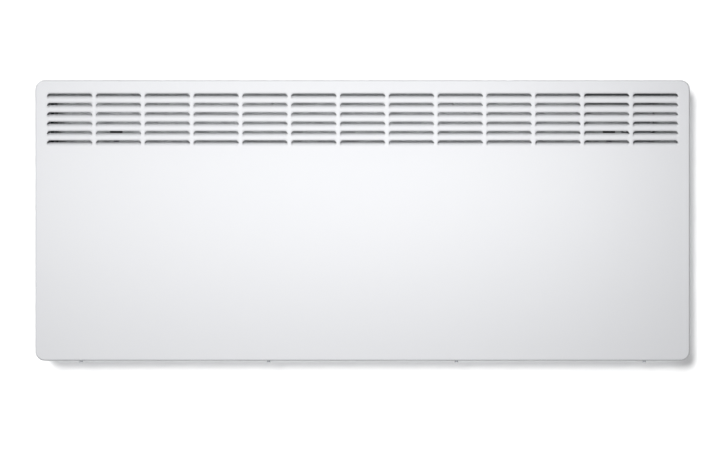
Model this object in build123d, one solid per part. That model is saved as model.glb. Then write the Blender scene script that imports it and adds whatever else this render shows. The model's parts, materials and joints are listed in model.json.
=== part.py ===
from build123d import *

import math
import os

# Wall panel convector heater on its wall bracket. Millimetres, +X to the right as seen from the
# room, +Y into the wall, +Z up. The origin is the centre of the four wall screws, on the wall.

# ---------------------------------------------------------------- case
width = 1050.0  # front cover, side to side
height = 450.0  # front cover, top to bottom
case_depth = 78.0  # front face to back panel
wall_gap = 22.0  # back panel to wall
cover_sheet = 1.0
cover_corner = 15.0  # corners of the cover, seen from the front
cover_edge = 4.0  # bend between the front face and the flanges
cover_flange = 52.0  # how far the sides and the top reach back
bottom_flange = 22.0  # the same at the bottom, between the corners
tray_sheet = 0.8  # back panel
tray_depth = 36.0
tray_lip = 12.0  # its bottom flange, between the corners
cover_play = 1.5  # between the cover's flanges and the back panel's
play = 0.3  # between pieces that only pass each other
hole_play = 0.1  # round a pin or a screw in its hole

# ---------------------------------------------------------------- louvres of the front cover
louvre_pitch_x = 78.3
louvre_pitch_z = 15.0
louvre_rows = 6
louvre_side_margin = 18.0  # least plain strip at either side
louvre_top_margin = 21.5
louvre_width = 73.4
louvre_height = 9.6
louvre_corner = 4.7
mouth_height = 3.2  # open slot along the top of each louvre
scoop_depth = 5.0  # how far the scoop under it is pressed in
scoop_lip = 1.2  # upright end of the scoop, under the slot
scoop_draft = 4.0  # how much each end of the scoop leans in
scoop_bend = 1.5  # inner radius of its bends

# ---------------------------------------------------------------- fixings of the cover
screw_pitch = 301.5
screw_count = 4
screw_inset = 11.0  # behind the front face
screw_head_radius = 3.1
screw_head_height = 2.8
screw_radius = 1.95
screw_reach = 12.0
screw_cross = (3.6, 0.9)  # length and width of the recess's arms
screw_head_edge = 0.8
screw_tip = 0.7
clip_nut_size = 14.0
clip_nut_corner = 1.5
clip_pitch = 250.0
clip_count = 4
clip_first_x = -420.0
clip_width = 20.0
clip_sheet = 0.6
clip_leg = 8.0
clip_hump = 0.9

# ---------------------------------------------------------------- bottom grille
grille_sheet = 1.0
grille_side_gap = 18.0  # to the outside of the cover
grille_front_gap = 4.0
grille_back_gap = 2.0
grille_slot_length = 66.0
grille_slot_width = 5.0
grille_slot_pitch = 12.0
grille_slot_rows = 4
grille_first_row = 28.0  # behind the front face

# ---------------------------------------------------------------- air duct
duct_sheet = 0.8
duct_left_inset = 30.0  # cheek to the left side of the case
compartment_width = 173.0  # dividing wall to the right side of the case
duct_flange = 10.0
shield_gap = 12.0  # front face to heat shield
shield_bottom_gap = 13.0
shield_top_gap = 130.0
reflector_sheet = 0.6
reflector_gap = 6.6  # back panel to reflector
reflector_top_gap = 165.0
reflector_foot = 8.0
reflector_side_gap = 6.0
cheek_top_gap = 35.0
divider_end_gap = 4.0  # dividing wall to the top and to the grille

duct_rivet_low = 40.0  # above the bottom
duct_rivet_top = 60.0  # below the top
shield_rivet_low = 20.0  # above the shield's foot
shield_rivet_top = 12.0  # under its top
reflector_rivet_pitch = 250.0

# ---------------------------------------------------------------- heating elements
element_low = 65.0  # centre of the lower element above the bottom
element_pitch = 65.0
element_count = 2
element_end_gap = 12.0
fin_half_depth = 22.0
fin_half_height = 30.0
fin_sheet = 1.6
fin_tube_radius = 8.0
fin_rib = 7.0
sheath_radius = 4.25
sheath_past_wall = 9.0
bush_radius = 9.0
bush_length = 4.0
head_length = 19.0
blade_width = 6.3
blade_sheet = 0.8
blade_length = 9.0
blade_pitch = 8.0
support_gap = 6.0  # gap in the fins for the middle support
support_rise = 10.0  # past the fins, at its foot and its top
fin_rib_places = (0.55, 0.8)  # along each arm
fin_rib_sheet = 1.2
sheath_end = 1.0
head_collar = 2.5
blade_hole = 0.8
blade_hole_inset = 3.0

# ---------------------------------------------------------------- overheat cut-out and room sensor
cutout_above = 50.0  # above the upper element
cutout_radius = 8.0
cutout_length = 9.0
cutout_ear = 13.0
cutout_ear_width = 8.0
cutout_ear_sheet = 1.2
cutout_blade = 7.0
cutout_blade_pitch = 8.0
cutout_step = 2.0  # from its edge to the sensing hole behind it
sensor_inset = 32.0  # from the right side
sensor_radius = 2.5
sensor_length = 22.0
sensor_tip = 1.0
sensor_foot = (10.0, 16.0, 2.0)
sensor_post = (7.0, 8.0, 10.0)

# ---------------------------------------------------------------- control panel on the top
fascia_width = 124.0
fascia_depth = 54.0
fascia_sheet = 2.0
fascia_corner = 4.0
fascia_chamfer = 0.4
fascia_right_inset = 44.0
fascia_back_inset = 2.0
housing_wall = 2.0
housing_inset = 2.0
housing_height = 33.0
board_sheet = 1.6
board_drop = 15.4  # top of the control board below the top of the case
board_gap = 2.0
post_radius = 3.0
window_depth = 24.0
window_sheet = 1.2
window_ledge = 1.0
window_inset = 5.0  # from the left end of the control panel
window_key_gap = 5.5  # from the window to the first key
display_height = 10.0
display_margin = (3.0, 2.0)  # inside the window's edges
button_count = 4
button_width = 11.0
button_depth = 9.0
button_pitch = 14.0
button_inset = 14.0  # centre of the last button from the right end
button_proud = 0.5
button_travel = 0.8
button_corner = 1.2
button_edge = 0.3
button_rim = 1.0
button_rim_sheet = 1.2
button_stem_radius = 2.0
switch_size = 6.0
switch_height = 3.5
switch_plunger_radius = 1.7
switch_plunger = 1.0

# ---------------------------------------------------------------- power electronics
power_right_inset = 63.0
power_width = 30.0
power_front_gap = 16.0
power_top_gap = 65.0
power_height = 180.0
power_wall = 2.0
power_tab = 12.0
power_tab_height = 16.0
power_tab_inset = 14.0
power_board_gap = 4.0
relay_size = (15.0, 22.0, 28.0)
relay_pitch = 40.0
relay_count = 3
socket_depth = 3.0
socket_height = 6.0
socket_margin = 2.0  # past each side of the ribbon
ribbon_width = 12.0
ribbon_sheet = 1.2
ribbon_inset = 11.0  # from the right end of the control panel
ribbon_drop = 14.0  # socket under the top of the power housing
ribbon_bend = 0.45  # share of the shorter run that the bend takes
terminal_block_size = (50.0, 20.0, 18.0)
terminal_block_left = 105.0  # its left end from the right side of the case
terminal_block_high = 107.0  # its foot above the bottom
terminal_poles = 3
terminal_bore = 3.2
terminal_recess = 6.0
terminal_screw_radius = 2.4
terminal_screw_inset = 5.0

# ---------------------------------------------------------------- mains switch on the right side
rocker_high = 75.0  # above the bottom
rocker_back = 13.0  # in front of the back panel's outside
bezel_depth = 15.0
bezel_height = 21.0
bezel_sheet = 1.0
bezel_corner = 1.5
bezel_chamfer = 0.3
switch_body_depth = 13.0
switch_body_height = 19.0
switch_body_length = 19.5
switch_tab_length = 7.0
switch_tab_pitch = 10.0
rocker_width = 9.6
rocker_radius = 7.6
rocker_half_length = 7.0
rocker_dip = 2.0  # middle of the rocker above its pivot
rocker_tilt = 8.0  # degrees either way
rocker_sink = 1.8  # pivot under the outside of the back panel's flange
rocker_pin_radius = 1.2

# ---------------------------------------------------------------- cable gland and earth stud
gland_inset = 50.0  # from the right side
gland_high = 40.0  # above the bottom
gland_bore = 4.3
gland_radius = 8.0
gland_collar = 11.0
gland_collar_length = 5.0
gland_nut = 10.5
gland_nut_length = 6.0
gland_inner_length = 12.0
gland_edge = 1.5
earth_inset = 18.0
earth_high = 120.0
earth_radius = 2.5
earth_length = 14.0
earth_nut = 4.6
earth_nut_length = 4.0
earth_washer = 1.0

# ---------------------------------------------------------------- wall bracket
bracket_sheet = 1.5
upright_inset = 125.0  # centre of each upright from the side of the case
upright_web = 44.0
upright_foot = 22.0
upright_bottom_gap = 35.0
upright_top_gap = 107.0
upright_bend = 2.25
web_play = 0.3  # web to back panel
tongue_width = 30.0
tongue_height = 48.0
tongue_overlap = 2.0
tongue_corner = 0.9
wall_screw_inset = 18.0  # upper screws under the top of the uprights
wall_hole_radius = 4.0
rail_width = 25.0
rail_end_gap = 3.0  # to the upright's web
rail_corner = 3.0
rail_slot = (40.0, 6.0)
rail_top_inset = 28.0  # from the top of the uprights
rail_bottom_inset = 40.0  # from their foot
rivet_radius = 1.6
rivet_head = 3.2
rivet_head_height = 1.2
rivet_pitch = 14.0
hook_sheet = 2.0
hook_spread = 24.0
hook_high = 65.0  # top of the hook's neck above the bottom
hook_neck = 10.0
hook_tip = 8.0
hook_tip_sheet = 3.0
hook_reach = 5.5  # past the outside of the back panel
hook_root = 30.0
hook_slot_play = 0.5
lift = 12.0  # how far the heater is lifted off its hooks

# ---------------------------------------------------------------- latches
latch_drop = 80.0  # below the top
latch_radius = 4.0
latch_head_length = 20.0
latch_head_width = 7.0
latch_head_sheet = 2.5
latch_head_corner = 1.5
latch_head_play = 0.4
latch_slot_play = 0.5
latch_slot_height = 27.5
latch_hub_radius = 8.0
latch_hub_length = 5.9
lever_length = 66.0
lever_width = 11.0
lever_sheet = 5.0
lever_grip = 17.0
lever_grip_width = 3.0
lever_grip_sheet = 2.0

# ---------------------------------------------------------------- back panel
bead_length = 300.0
bead_width = 16.0
bead_height = 2.0
bead_slope = 1.5
bead_drops = (40.0, 190.0, 320.0)  # below the top
vent_count = 7
vent_inset = 45.0  # last one from the right side
vent_pitch = 9.0
vent_width = 4.0
vent_height = 34.0
vent_drop = 290.0

# ---------------------------------------------------------------- worked-out places
front_y = -(wall_gap + case_depth)
back_y = -wall_gap
inner_back_y = back_y - tray_sheet
half_width = width / 2
half_height = height / 2
tray_half_width = half_width - cover_sheet - cover_play
tray_half_height = half_height - cover_sheet - cover_play
tray_corner = cover_corner - cover_sheet - cover_play
grille_low = -tray_half_height + tray_sheet
grille_top = grille_low + grille_sheet
grille_half_width = half_width - grille_side_gap
grille_y = (front_y + grille_front_gap, back_y - grille_back_gap)
louvre_gap = louvre_pitch_x - louvre_width
louvre_columns = int((width - 2 * louvre_side_margin + louvre_gap) / louvre_pitch_x)
screw_y = front_y + screw_inset
screw_xs = [(i - (screw_count - 1) / 2) * screw_pitch for i in range(screw_count)]

cheek_x = -half_width + duct_left_inset
divider_x = half_width - compartment_width
shield_y = front_y + shield_gap
shield_back = shield_y + duct_sheet
shield_z = (-half_height + shield_bottom_gap, half_height - shield_top_gap)
reflector_back = inner_back_y - reflector_gap
reflector_y = reflector_back - reflector_sheet
reflector_z = (-half_height + shield_bottom_gap, half_height - reflector_top_gap)
element_y = (shield_back + reflector_y) / 2
element_zs = [-half_height + element_low + i * element_pitch for i in range(element_count)]
element_x = (cheek_x + element_end_gap, divider_x - element_end_gap)
support_x = (cheek_x + divider_x) / 2
head_x = divider_x + duct_sheet
cutout_z = element_zs[-1] + cutout_above

fascia_right = half_width - fascia_right_inset
fascia_x = (fascia_right - fascia_width, fascia_right)
fascia_y = (back_y - fascia_back_inset - fascia_depth, back_y - fascia_back_inset)
fascia_low = half_height - fascia_sheet
housing_x = (fascia_x[0] + housing_inset, fascia_x[1] - housing_inset)
housing_y = (fascia_y[0] + housing_inset, inner_back_y)
housing_z = (fascia_low - housing_height, fascia_low)
board_top = half_height - board_drop
board_x = (housing_x[0] + housing_wall + board_gap, housing_x[1] - housing_wall - board_gap)
board_y = (housing_y[0] + housing_wall + board_gap, housing_y[1] - housing_wall - board_gap)
panel_y = (fascia_y[0] + fascia_y[1]) / 2
button_xs = [fascia_x[1] - button_inset - i * button_pitch for i in reversed(range(button_count))]
window_edges = (fascia_x[0] + window_inset, button_xs[0] - button_width / 2 - window_key_gap)
window_width = window_edges[1] - window_edges[0]
window_x = (window_edges[0] + window_edges[1]) / 2
plunger_top = board_top + switch_height + switch_plunger

power_x = (half_width - power_right_inset - power_width, half_width - power_right_inset)
power_y = (front_y + power_front_gap, inner_back_y)
power_z = (half_height - power_top_gap - power_height, half_height - power_top_gap)
power_tab_zs = (power_z[0] + power_tab_inset, power_z[1] - power_tab_inset)
ribbon_x = fascia_x[1] - ribbon_inset
block_x = (half_width - terminal_block_left, half_width - terminal_block_left + terminal_block_size[0])
block_y = (inner_back_y - terminal_block_size[1], inner_back_y)
block_z = (-half_height + terminal_block_high, -half_height + terminal_block_high + terminal_block_size[2])

rocker_y = back_y - rocker_back
rocker_z = -half_height + rocker_high
rocker_x = tray_half_width - rocker_sink
switch_x = (tray_half_width + bezel_sheet - switch_body_length, tray_half_width)
gland_x = half_width - gland_inset
gland_z = -half_height + gland_high
gland_end = inner_back_y - gland_inner_length
earth_x = half_width - earth_inset
earth_z = -half_height + earth_high

upright_x = half_width - upright_inset
web_y = back_y + web_play
upright_z = (-half_height + upright_bottom_gap, half_height - upright_top_gap)
foot_x = upright_web / 2 + upright_foot / 2
wall_screw_zs = (wall_screw_inset - upright_z[1], upright_z[1] - wall_screw_inset)
rail_zs = (upright_z[0] + rail_bottom_inset, upright_z[1] - rail_top_inset)
hook_z = -half_height + hook_high
latch_z = half_height - latch_drop
latch_head_y = (inner_back_y - latch_head_play - latch_head_sheet, inner_back_y - latch_head_play)


# ---------------------------------------------------------------- shapes used again and again
def block(x, y, z):
    """A box from its low and high limits along each axis."""
    middle = Pos((x[0] + x[1]) / 2, (y[0] + y[1]) / 2, (z[0] + z[1]) / 2)
    return middle * Box(x[1] - x[0], y[1] - y[0], z[1] - z[0])


def slab(sketch, y):
    """A sketch drawn as the front view shows it, given its thickness from y[0] to y[1]."""
    return extrude(Plane.XZ.offset(-y[1]) * sketch, y[1] - y[0])


def plate(sketch, x):
    """A sketch drawn with Y across and Z up, given its thickness from x[0] to x[1]."""
    return extrude(Plane.YZ.offset(x[0]) * sketch, x[1] - x[0])


def layer(sketch, z):
    """A sketch drawn as the top view shows it, given its thickness from z[0] to z[1]."""
    return extrude(Plane.XY.offset(z[0]) * sketch, z[1] - z[0])


def disc_x(y, z, radius, x):
    return plate(Pos(y, z) * Circle(radius), x)


def disc_y(x, z, radius, y):
    return slab(Pos(x, z) * Circle(radius), y)


def disc_z(x, y, radius, z):
    return layer(Pos(x, y) * Circle(radius), z)


def group(shapes):
    """Separate solids kept together as one piece of the list."""
    return Compound([solid for shape in shapes for solid in shape.solids()])


def rivet(x, z, y_face, grip):
    """A rivet along Y whose domed head stands on the front of the sheets, at y_face."""
    shank = disc_y(x, z, rivet_radius, (y_face, y_face + grip))
    head = disc_y(x, z, rivet_head, (y_face - rivet_head_height, y_face))
    head = fillet(head.faces().sort_by(Axis.Y)[0].edges(), rivet_head_height * 0.7)
    return head + shank


def rivet_holes(places, y):
    return [disc_y(x, z, rivet_radius + hole_play, y) for x, z in places]


def wire(points, radius):
    """A wire along straight runs joined by arcs that take 0.45 of the shorter run beside them."""
    places = [Vector(*point) for point in points]
    bends = []
    for before, here, after in zip(places, places[1:], places[2:]):
        turn = math.radians((here - before).get_angle(after - here))
        shorter = min((here - before).length, (after - here).length)
        bends.append(0.45 * shorter / math.tan(turn / 2))
    path = FilletPolyline(*points, radius=bends)
    start = Plane(origin=path @ 0, z_dir=path % 0)
    body = sweep(start * Circle(radius), path=path)
    share = body.volume / (math.pi * radius**2 * path.length)
    print("wire bends", [round(bend, 1) for bend in bends], "length", round(path.length), "fill", round(share, 4))
    return body


# ---------------------------------------------------------------- front cover
def louvre_places():
    """The middle of each louvre's lower edge, as seen from the front."""
    places = []
    for column in range(louvre_columns):
        for row in range(louvre_rows):
            x = (column - (louvre_columns - 1) / 2) * louvre_pitch_x
            z = half_height - louvre_top_margin - louvre_height - row * louvre_pitch_z
            places.append(Location((x, 0, z)))
    return places


def scoop(grow, start, bend):
    """The sloping pocket under a slot: at grow 0 its inside, at grow one sheet its outside."""
    lip_top = louvre_height - mouth_height
    slope_end = lip_top - scoop_lip
    depth = scoop_depth + grow
    end = front_y + depth
    side = louvre_width / 2 + grow
    lean = scoop_draft * (depth - (start - front_y)) / scoop_depth
    profile = Polyline((start, -grow), (end, slope_end), (end, lip_top), (start, lip_top), close=True)
    body = plate(make_face(profile), (-side, side))
    past = 1.0
    trim = Polyline(
        (side, start),
        (side + past, start),
        (side + past, end),
        (side - lean, end),
        close=True,
    )
    trim = layer(make_face(trim), (-grow - past, louvre_height))
    body = body - trim - mirror(trim, Plane.YZ)
    bends = [
        edge
        for edge in body.edges()
        if abs((edge @ 0).Y - (edge @ 1).Y) > scoop_depth / 2 and edge.center().Z < lip_top - scoop_lip / 2
    ]
    return fillet(bends, bend)


def front_cover():
    """One folded and pressed sheet: face, flanges, louvres, screw holes and control notch."""
    face = (front_y, front_y + cover_flange)
    outer = slab(RectangleRounded(width, height, cover_corner), face)
    outer = fillet(outer.faces().sort_by(Axis.Y)[0].edges(), cover_edge)
    inner = slab(
        RectangleRounded(width - 2 * cover_sheet, height - 2 * cover_sheet, cover_corner - cover_sheet),
        (face[0] + cover_sheet, face[1] + cover_sheet),
    )
    inner = fillet(inner.faces().sort_by(Axis.Y)[0].edges(), cover_edge - cover_sheet)
    cover = outer - inner

    bottom_gap = block(
        (-half_width + cover_corner + play, half_width - cover_corner - play),
        (front_y + bottom_flange, face[1] + play),
        (-half_height - play, -half_height + cover_sheet + play),
    )
    notch = block(
        (fascia_x[0] - play, fascia_x[1] + play),
        (fascia_y[0] - play, face[1] + play),
        (half_height - cover_sheet - play, half_height + play),
    )
    cover = cover - bottom_gap - notch
    hole = screw_radius + 2 * hole_play
    cover = cover - [disc_z(x, screw_y, hole, (-half_height - play, grille_top)) for x in screw_xs]

    outside = scoop(cover_sheet, front_y + cover_sheet, scoop_bend + cover_sheet)
    inside = scoop(0.0, front_y, scoop_bend)
    slot = slab(
        Pos(0, louvre_height / 2) * RectangleRounded(louvre_width, louvre_height, louvre_corner),
        (front_y, front_y + cover_sheet),
    )
    below_slot = block(
        (-louvre_width, louvre_width),
        (front_y - play, front_y + cover_sheet + play),
        (-louvre_height, louvre_height - mouth_height),
    )
    inside = inside + (slot - below_slot)
    cover = cover + [place * outside for place in louvre_places()]
    return cover - [place * inside for place in louvre_places()]


# ---------------------------------------------------------------- back panel and what fixes the cover
def hook_xs():
    """Middle of each hook plate, left to right."""
    return [side * upright_x + step * hook_spread / 2 for side in (-1, 1) for step in (-1, 1)]


def reflector_rivets():
    """Rivets through the reflector's feet, along its top and its bottom edge."""
    xs = [support_x + step * reflector_rivet_pitch for step in (-1, 0, 1)]
    zs = (reflector_z[0] - reflector_foot / 2, reflector_z[1] + reflector_foot / 2)
    return [(x, z) for z in zs for x in xs]


def cheek_rivets():
    xs = (cheek_x - duct_sheet - duct_flange / 2, head_x + duct_flange / 2)
    return [(x, z) for x in xs for z in (-half_height + duct_rivet_low, half_height - duct_rivet_top)]


def shield_rivets():
    xs = (cheek_x - duct_sheet - duct_flange / 2, head_x + duct_flange / 2)
    zs = (shield_z[0] + shield_rivet_low, (shield_z[0] + shield_z[1]) / 2, shield_z[1] - shield_rivet_top)
    return [(x, z) for x in xs for z in zs]


def back_panel():
    """A shallow tray: back wall, flanges round it, slots for hooks and latches, vents and beads."""
    outer = RectangleRounded(2 * tray_half_width, 2 * tray_half_height, tray_corner)
    inner = RectangleRounded(
        2 * (tray_half_width - tray_sheet), 2 * (tray_half_height - tray_sheet), tray_corner - tray_sheet
    )
    tray = slab(outer, (back_y - tray_depth, back_y)) - slab(inner, (back_y - tray_depth, inner_back_y))
    flat = half_width - cover_corner - play
    tray = tray - block(
        (-flat, flat),
        (back_y - tray_depth - play, back_y - tray_lip),
        (-tray_half_height - play, grille_low + play),
    )
    tray = tray - block(
        (fascia_x[0] - play, fascia_x[1] + play),
        (back_y - tray_depth - play, inner_back_y),
        (tray_half_height - tray_sheet - play, tray_half_height + play),
    )
    for drop in bead_drops:
        z = half_height - drop
        raised = slab(Pos(0, z) * SlotOverall(bead_length, bead_width), (back_y, back_y + bead_height))
        raised = chamfer(raised.faces().sort_by(Axis.Y)[-1].edges(), bead_slope)
        hollow = SlotOverall(bead_length - 2 * tray_sheet, bead_width - 2 * tray_sheet)
        hollow = slab(Pos(0, z) * hollow, (inner_back_y, back_y + bead_height - tray_sheet))
        hollow = chamfer(hollow.faces().sort_by(Axis.Y)[-1].edges(), bead_slope)
        tray = tray + raised - hollow

    wall = (inner_back_y - play, back_y + play)
    cuts = []
    hook_slot = Rectangle(hook_sheet + 2 * hook_slot_play, hook_neck + lift + 2 * hook_slot_play + play)
    slot_middle = hook_z + play - (hook_neck + lift + 2 * hook_slot_play + play) / 2
    cuts += [slab(Pos(x, slot_middle) * hook_slot, wall) for x in hook_xs()]
    latch_top = latch_z + latch_radius + latch_slot_play
    latch_slot = RectangleRounded(2 * (latch_radius + latch_slot_play), latch_slot_height, latch_radius)
    cuts += [slab(Pos(side * upright_x, latch_top - latch_slot_height / 2) * latch_slot, wall) for side in (-1, 1)]
    for index in range(vent_count):
        x = half_width - vent_inset - index * vent_pitch
        z = half_height - vent_drop
        cuts.append(slab(Pos(x, z) * SlotOverall(vent_height, vent_width, rotation=90), wall))
    cuts.append(disc_y(gland_x, gland_z, gland_radius + hole_play, wall))
    cuts.append(disc_y(earth_x, earth_z, earth_radius + hole_play, wall))
    cuts += rivet_holes(reflector_rivets() + cheek_rivets() + power_screws(), wall)
    opening = Pos(rocker_y, rocker_z) * Rectangle(switch_body_depth + 2 * play, switch_body_height + 2 * play)
    cuts.append(plate(opening, (tray_half_width - tray_sheet - play, tray_half_width + play)))
    return tray - cuts


def bottom_grille():
    """The slotted plate that closes the bottom and lets cold air in."""
    x = (-grille_half_width, grille_half_width)
    panel = block(x, grille_y, (grille_low, grille_top))
    slots = []
    slot = SlotOverall(grille_slot_length, grille_slot_width)
    for column in range(louvre_columns):
        for row in range(grille_slot_rows):
            x = (column - (louvre_columns - 1) / 2) * louvre_pitch_x
            y = front_y + grille_first_row + row * grille_slot_pitch
            slots.append(layer(Pos(x, y) * slot, (grille_low - play, grille_top + play)))
    hole = screw_radius + 2 * hole_play
    slots += [disc_z(x, screw_y, hole, (grille_low - play, grille_top + play)) for x in screw_xs]
    return panel - slots


def cover_screws():
    """Cross-head screws put in from below; their heads show under the front edge."""
    screws = []
    cross = Rectangle(*screw_cross) + Rectangle(*reversed(screw_cross))
    for x in screw_xs:
        head = disc_z(x, screw_y, screw_head_radius, (-half_height - screw_head_height, -half_height))
        head = fillet(head.faces().sort_by(Axis.Z)[0].edges(), screw_head_edge)
        head = head - layer(
            Pos(x, screw_y) * cross,
            (-half_height - screw_head_height, -half_height - screw_head_height / 3),
        )
        shank = disc_z(x, screw_y, screw_radius, (-half_height, -half_height + screw_reach))
        tip = chamfer(shank.faces().sort_by(Axis.Z)[-1].edges(), screw_tip)
        screws.append(head + tip)
    return group(screws)


def clip_nuts():
    """Square nuts held between the cover's bottom flange and the grille."""
    nuts = []
    z = (-half_height + cover_sheet, grille_low)
    for x in screw_xs:
        body = layer(Pos(x, screw_y) * RectangleRounded(clip_nut_size, clip_nut_size, clip_nut_corner), z)
        nuts.append(body - disc_z(x, screw_y, screw_radius + hole_play, z))
    return group(nuts)


def cover_clips():
    """Spring clips pushed over the edge of the back panel's top flange."""
    edge = back_y - tray_depth
    top = tray_half_height
    low = top - tray_sheet
    clips = []
    for index in range(clip_count):
        x = clip_first_x + index * clip_pitch
        span = (x - clip_width / 2, x + clip_width / 2)
        clip = block(span, (edge - clip_sheet, edge), (low - clip_sheet, top + clip_sheet))
        clip = clip + block(span, (edge, edge + clip_leg), (top, top + clip_sheet))
        clip = clip + block(span, (edge, edge + clip_leg), (low - clip_sheet, low))
        hump = Pos(edge + clip_leg / 2, top + clip_sheet / 2) * Circle(clip_hump)
        hump = plate(hump, span) - block(span, (edge - 1, edge + clip_leg + 1), (low - 1, top))
        clips.append(clip + hump)
    return group(clips)


# ---------------------------------------------------------------- air duct
def rod_holes(x, radius):
    return [disc_x(element_y, z, radius, x) for z in element_zs]


def duct_cheek():
    """The left end of the air duct, with flanges turned outwards; the front one stops with the shield."""
    z = (shield_z[0], half_height - cheek_top_gap)
    x = (cheek_x - duct_sheet, cheek_x)
    flange = (cheek_x - duct_sheet - duct_flange, cheek_x)
    sheet = block(x, (shield_back, inner_back_y), z)
    sheet = sheet + block(flange, (inner_back_y - duct_sheet, inner_back_y), z)
    sheet = sheet + block(flange, (shield_back, shield_back + duct_sheet), shield_z)
    through = (shield_back - play, inner_back_y + play)
    cuts = rivet_holes([place for place in shield_rivets() + cheek_rivets() if place[0] < 0], through)
    cuts += rod_holes((x[0] - play, x[1] + play), sheath_radius + 2 * hole_play)
    return sheet - cuts


def divider():
    """The wall between the air duct and the wiring compartment."""
    x = (divider_x, divider_x + duct_sheet)
    flange = (divider_x, head_x + duct_flange)
    z_low = grille_top + divider_end_gap
    z_top = half_height - cover_sheet - divider_end_gap
    sheet = block(x, (shield_back, inner_back_y), (z_low, z_top))
    sheet = sheet + block(x, (front_y + cover_sheet + play, inner_back_y), (shield_z[1] + play, z_top))
    sheet = sheet + block(flange, (inner_back_y - duct_sheet, inner_back_y), (z_low, shield_z[1]))
    sheet = sheet + block(flange, (shield_back, shield_back + duct_sheet), (z_low, shield_z[1]))
    through = (shield_back - play, inner_back_y + play)
    cuts = rivet_holes([place for place in shield_rivets() + cheek_rivets() if place[0] > 0], through)
    across = (x[0] - play, x[1] + play)
    cuts += rod_holes(across, sheath_radius + 2 * hole_play)
    cuts.append(disc_x(element_y, cutout_z, cutout_radius - cutout_step, across))
    return sheet - cuts


def heat_shield():
    """The plate that keeps the front cover cool below the louvres."""
    x = (cheek_x - duct_sheet - duct_flange, head_x + duct_flange)
    sheet = block(x, (shield_y, shield_back), shield_z)
    return sheet - rivet_holes(shield_rivets(), (shield_y - play, shield_back + play))


def reflector():
    """The bright plate behind the elements, on two feet that keep it off the back panel."""
    x = (cheek_x + reflector_side_gap, divider_x - reflector_side_gap)
    low, top = reflector_z
    foot = (inner_back_y - reflector_sheet, inner_back_y)
    sheet = block(x, (reflector_y, reflector_back), (low, top))
    for edge, outward in ((low, -1), (top, 1)):
        web = sorted((edge, edge - outward * reflector_sheet))
        reach = sorted((edge - outward * reflector_sheet, edge + outward * reflector_foot))
        sheet = sheet + block(x, (reflector_y, inner_back_y), web)
        sheet = sheet + block(x, foot, reach)
    return sheet - rivet_holes(reflector_rivets(), (foot[0] - play, foot[1] + play))


def middle_support():
    """The plate that carries both elements at their middle, standing on the reflector."""
    x = (support_x - duct_sheet / 2, support_x + duct_sheet / 2)
    flange = (x[0], x[1] + duct_flange)
    z = (element_zs[0] - fin_half_height - support_rise, element_zs[-1] + fin_half_height + support_rise)
    sheet = block(x, (shield_back, reflector_y), z)
    sheet = sheet + block(flange, (reflector_y - duct_sheet, reflector_y), z)
    sheet = sheet + block(flange, (shield_back, shield_back + duct_sheet), z)
    return sheet - rod_holes((x[0] - play, x[1] + play), fin_tube_radius + play)


# ---------------------------------------------------------------- heating elements
def fin_profile():
    """The X-shaped section of an element, with Y across and Z up."""
    reach = math.hypot(fin_half_depth, fin_half_height)
    angle = math.degrees(math.atan2(fin_half_height, fin_half_depth))
    section = Circle(fin_tube_radius)
    for turn in (angle, 180 - angle, 180 + angle, -angle):
        arm = Pos(reach / 2, 0) * Rectangle(reach, fin_sheet)
        for place in fin_rib_places:
            arm = arm + Pos(reach * place, 0) * Rectangle(fin_rib_sheet, fin_rib)
        arm = arm + Pos(reach - fin_sheet, 0) * Circle(fin_sheet)
        section = section + Rot(0, 0, turn) * arm
    return section


def element_fins(z):
    """An extruded aluminium heat spreader with a gap in its fins for the middle support."""
    spread = plate(Pos(element_y, z) * fin_profile(), element_x)
    gap = (support_x - support_gap / 2, support_x + support_gap / 2)
    around = plate(Pos(element_y, z) * Rectangle(3 * fin_half_depth, 3 * fin_half_height), gap)
    around = around - disc_x(element_y, z, fin_tube_radius, gap)
    bore = disc_x(element_y, z, sheath_radius + hole_play, (element_x[0] - 1, element_x[1] + 1))
    return spread - around - bore


def element_rod(z):
    """The steel sheath with the heating wire inside."""
    x = (cheek_x - duct_sheet - 2 * bush_length, head_x + sheath_past_wall)
    rod = disc_x(element_y, z, sheath_radius, x)
    return fillet(rod.faces().sort_by(Axis.X)[0].edges(), sheath_end)


def element_bushes():
    """Ceramic rings on the left cheek and ceramic heads on the dividing wall."""
    pieces = []
    for z in element_zs:
        x = (cheek_x - duct_sheet - bush_length, cheek_x - duct_sheet)
        ring = disc_x(element_y, z, bush_radius, x)
        pieces.append(ring - disc_x(element_y, z, sheath_radius + hole_play, x))
        cup = disc_x(element_y, z, bush_radius, (head_x, head_x + head_length))
        cup = cup + disc_x(element_y, z, bush_radius + head_collar, (head_x, head_x + bush_length))
        bore = (head_x, head_x + sheath_past_wall + play)
        pieces.append(cup - disc_x(element_y, z, sheath_radius + hole_play, bore))
    return group(pieces)


def blade_places():
    """The middle of each blade terminal on the elements' heads: y, z."""
    return [(element_y, z + side * blade_pitch / 2) for z in element_zs for side in (-1, 1)]


def element_blades():
    """Two blade terminals on each ceramic head."""
    x = (head_x + head_length, head_x + head_length + blade_length)
    blades = []
    for y, z in blade_places():
        blade = block(x, (y - blade_width / 2, y + blade_width / 2), (z - blade_sheet / 2, z + blade_sheet / 2))
        blades.append(blade - disc_z(x[1] - blade_hole_inset, y, blade_hole, (z - 1, z + 1)))
    return group(blades)


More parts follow.
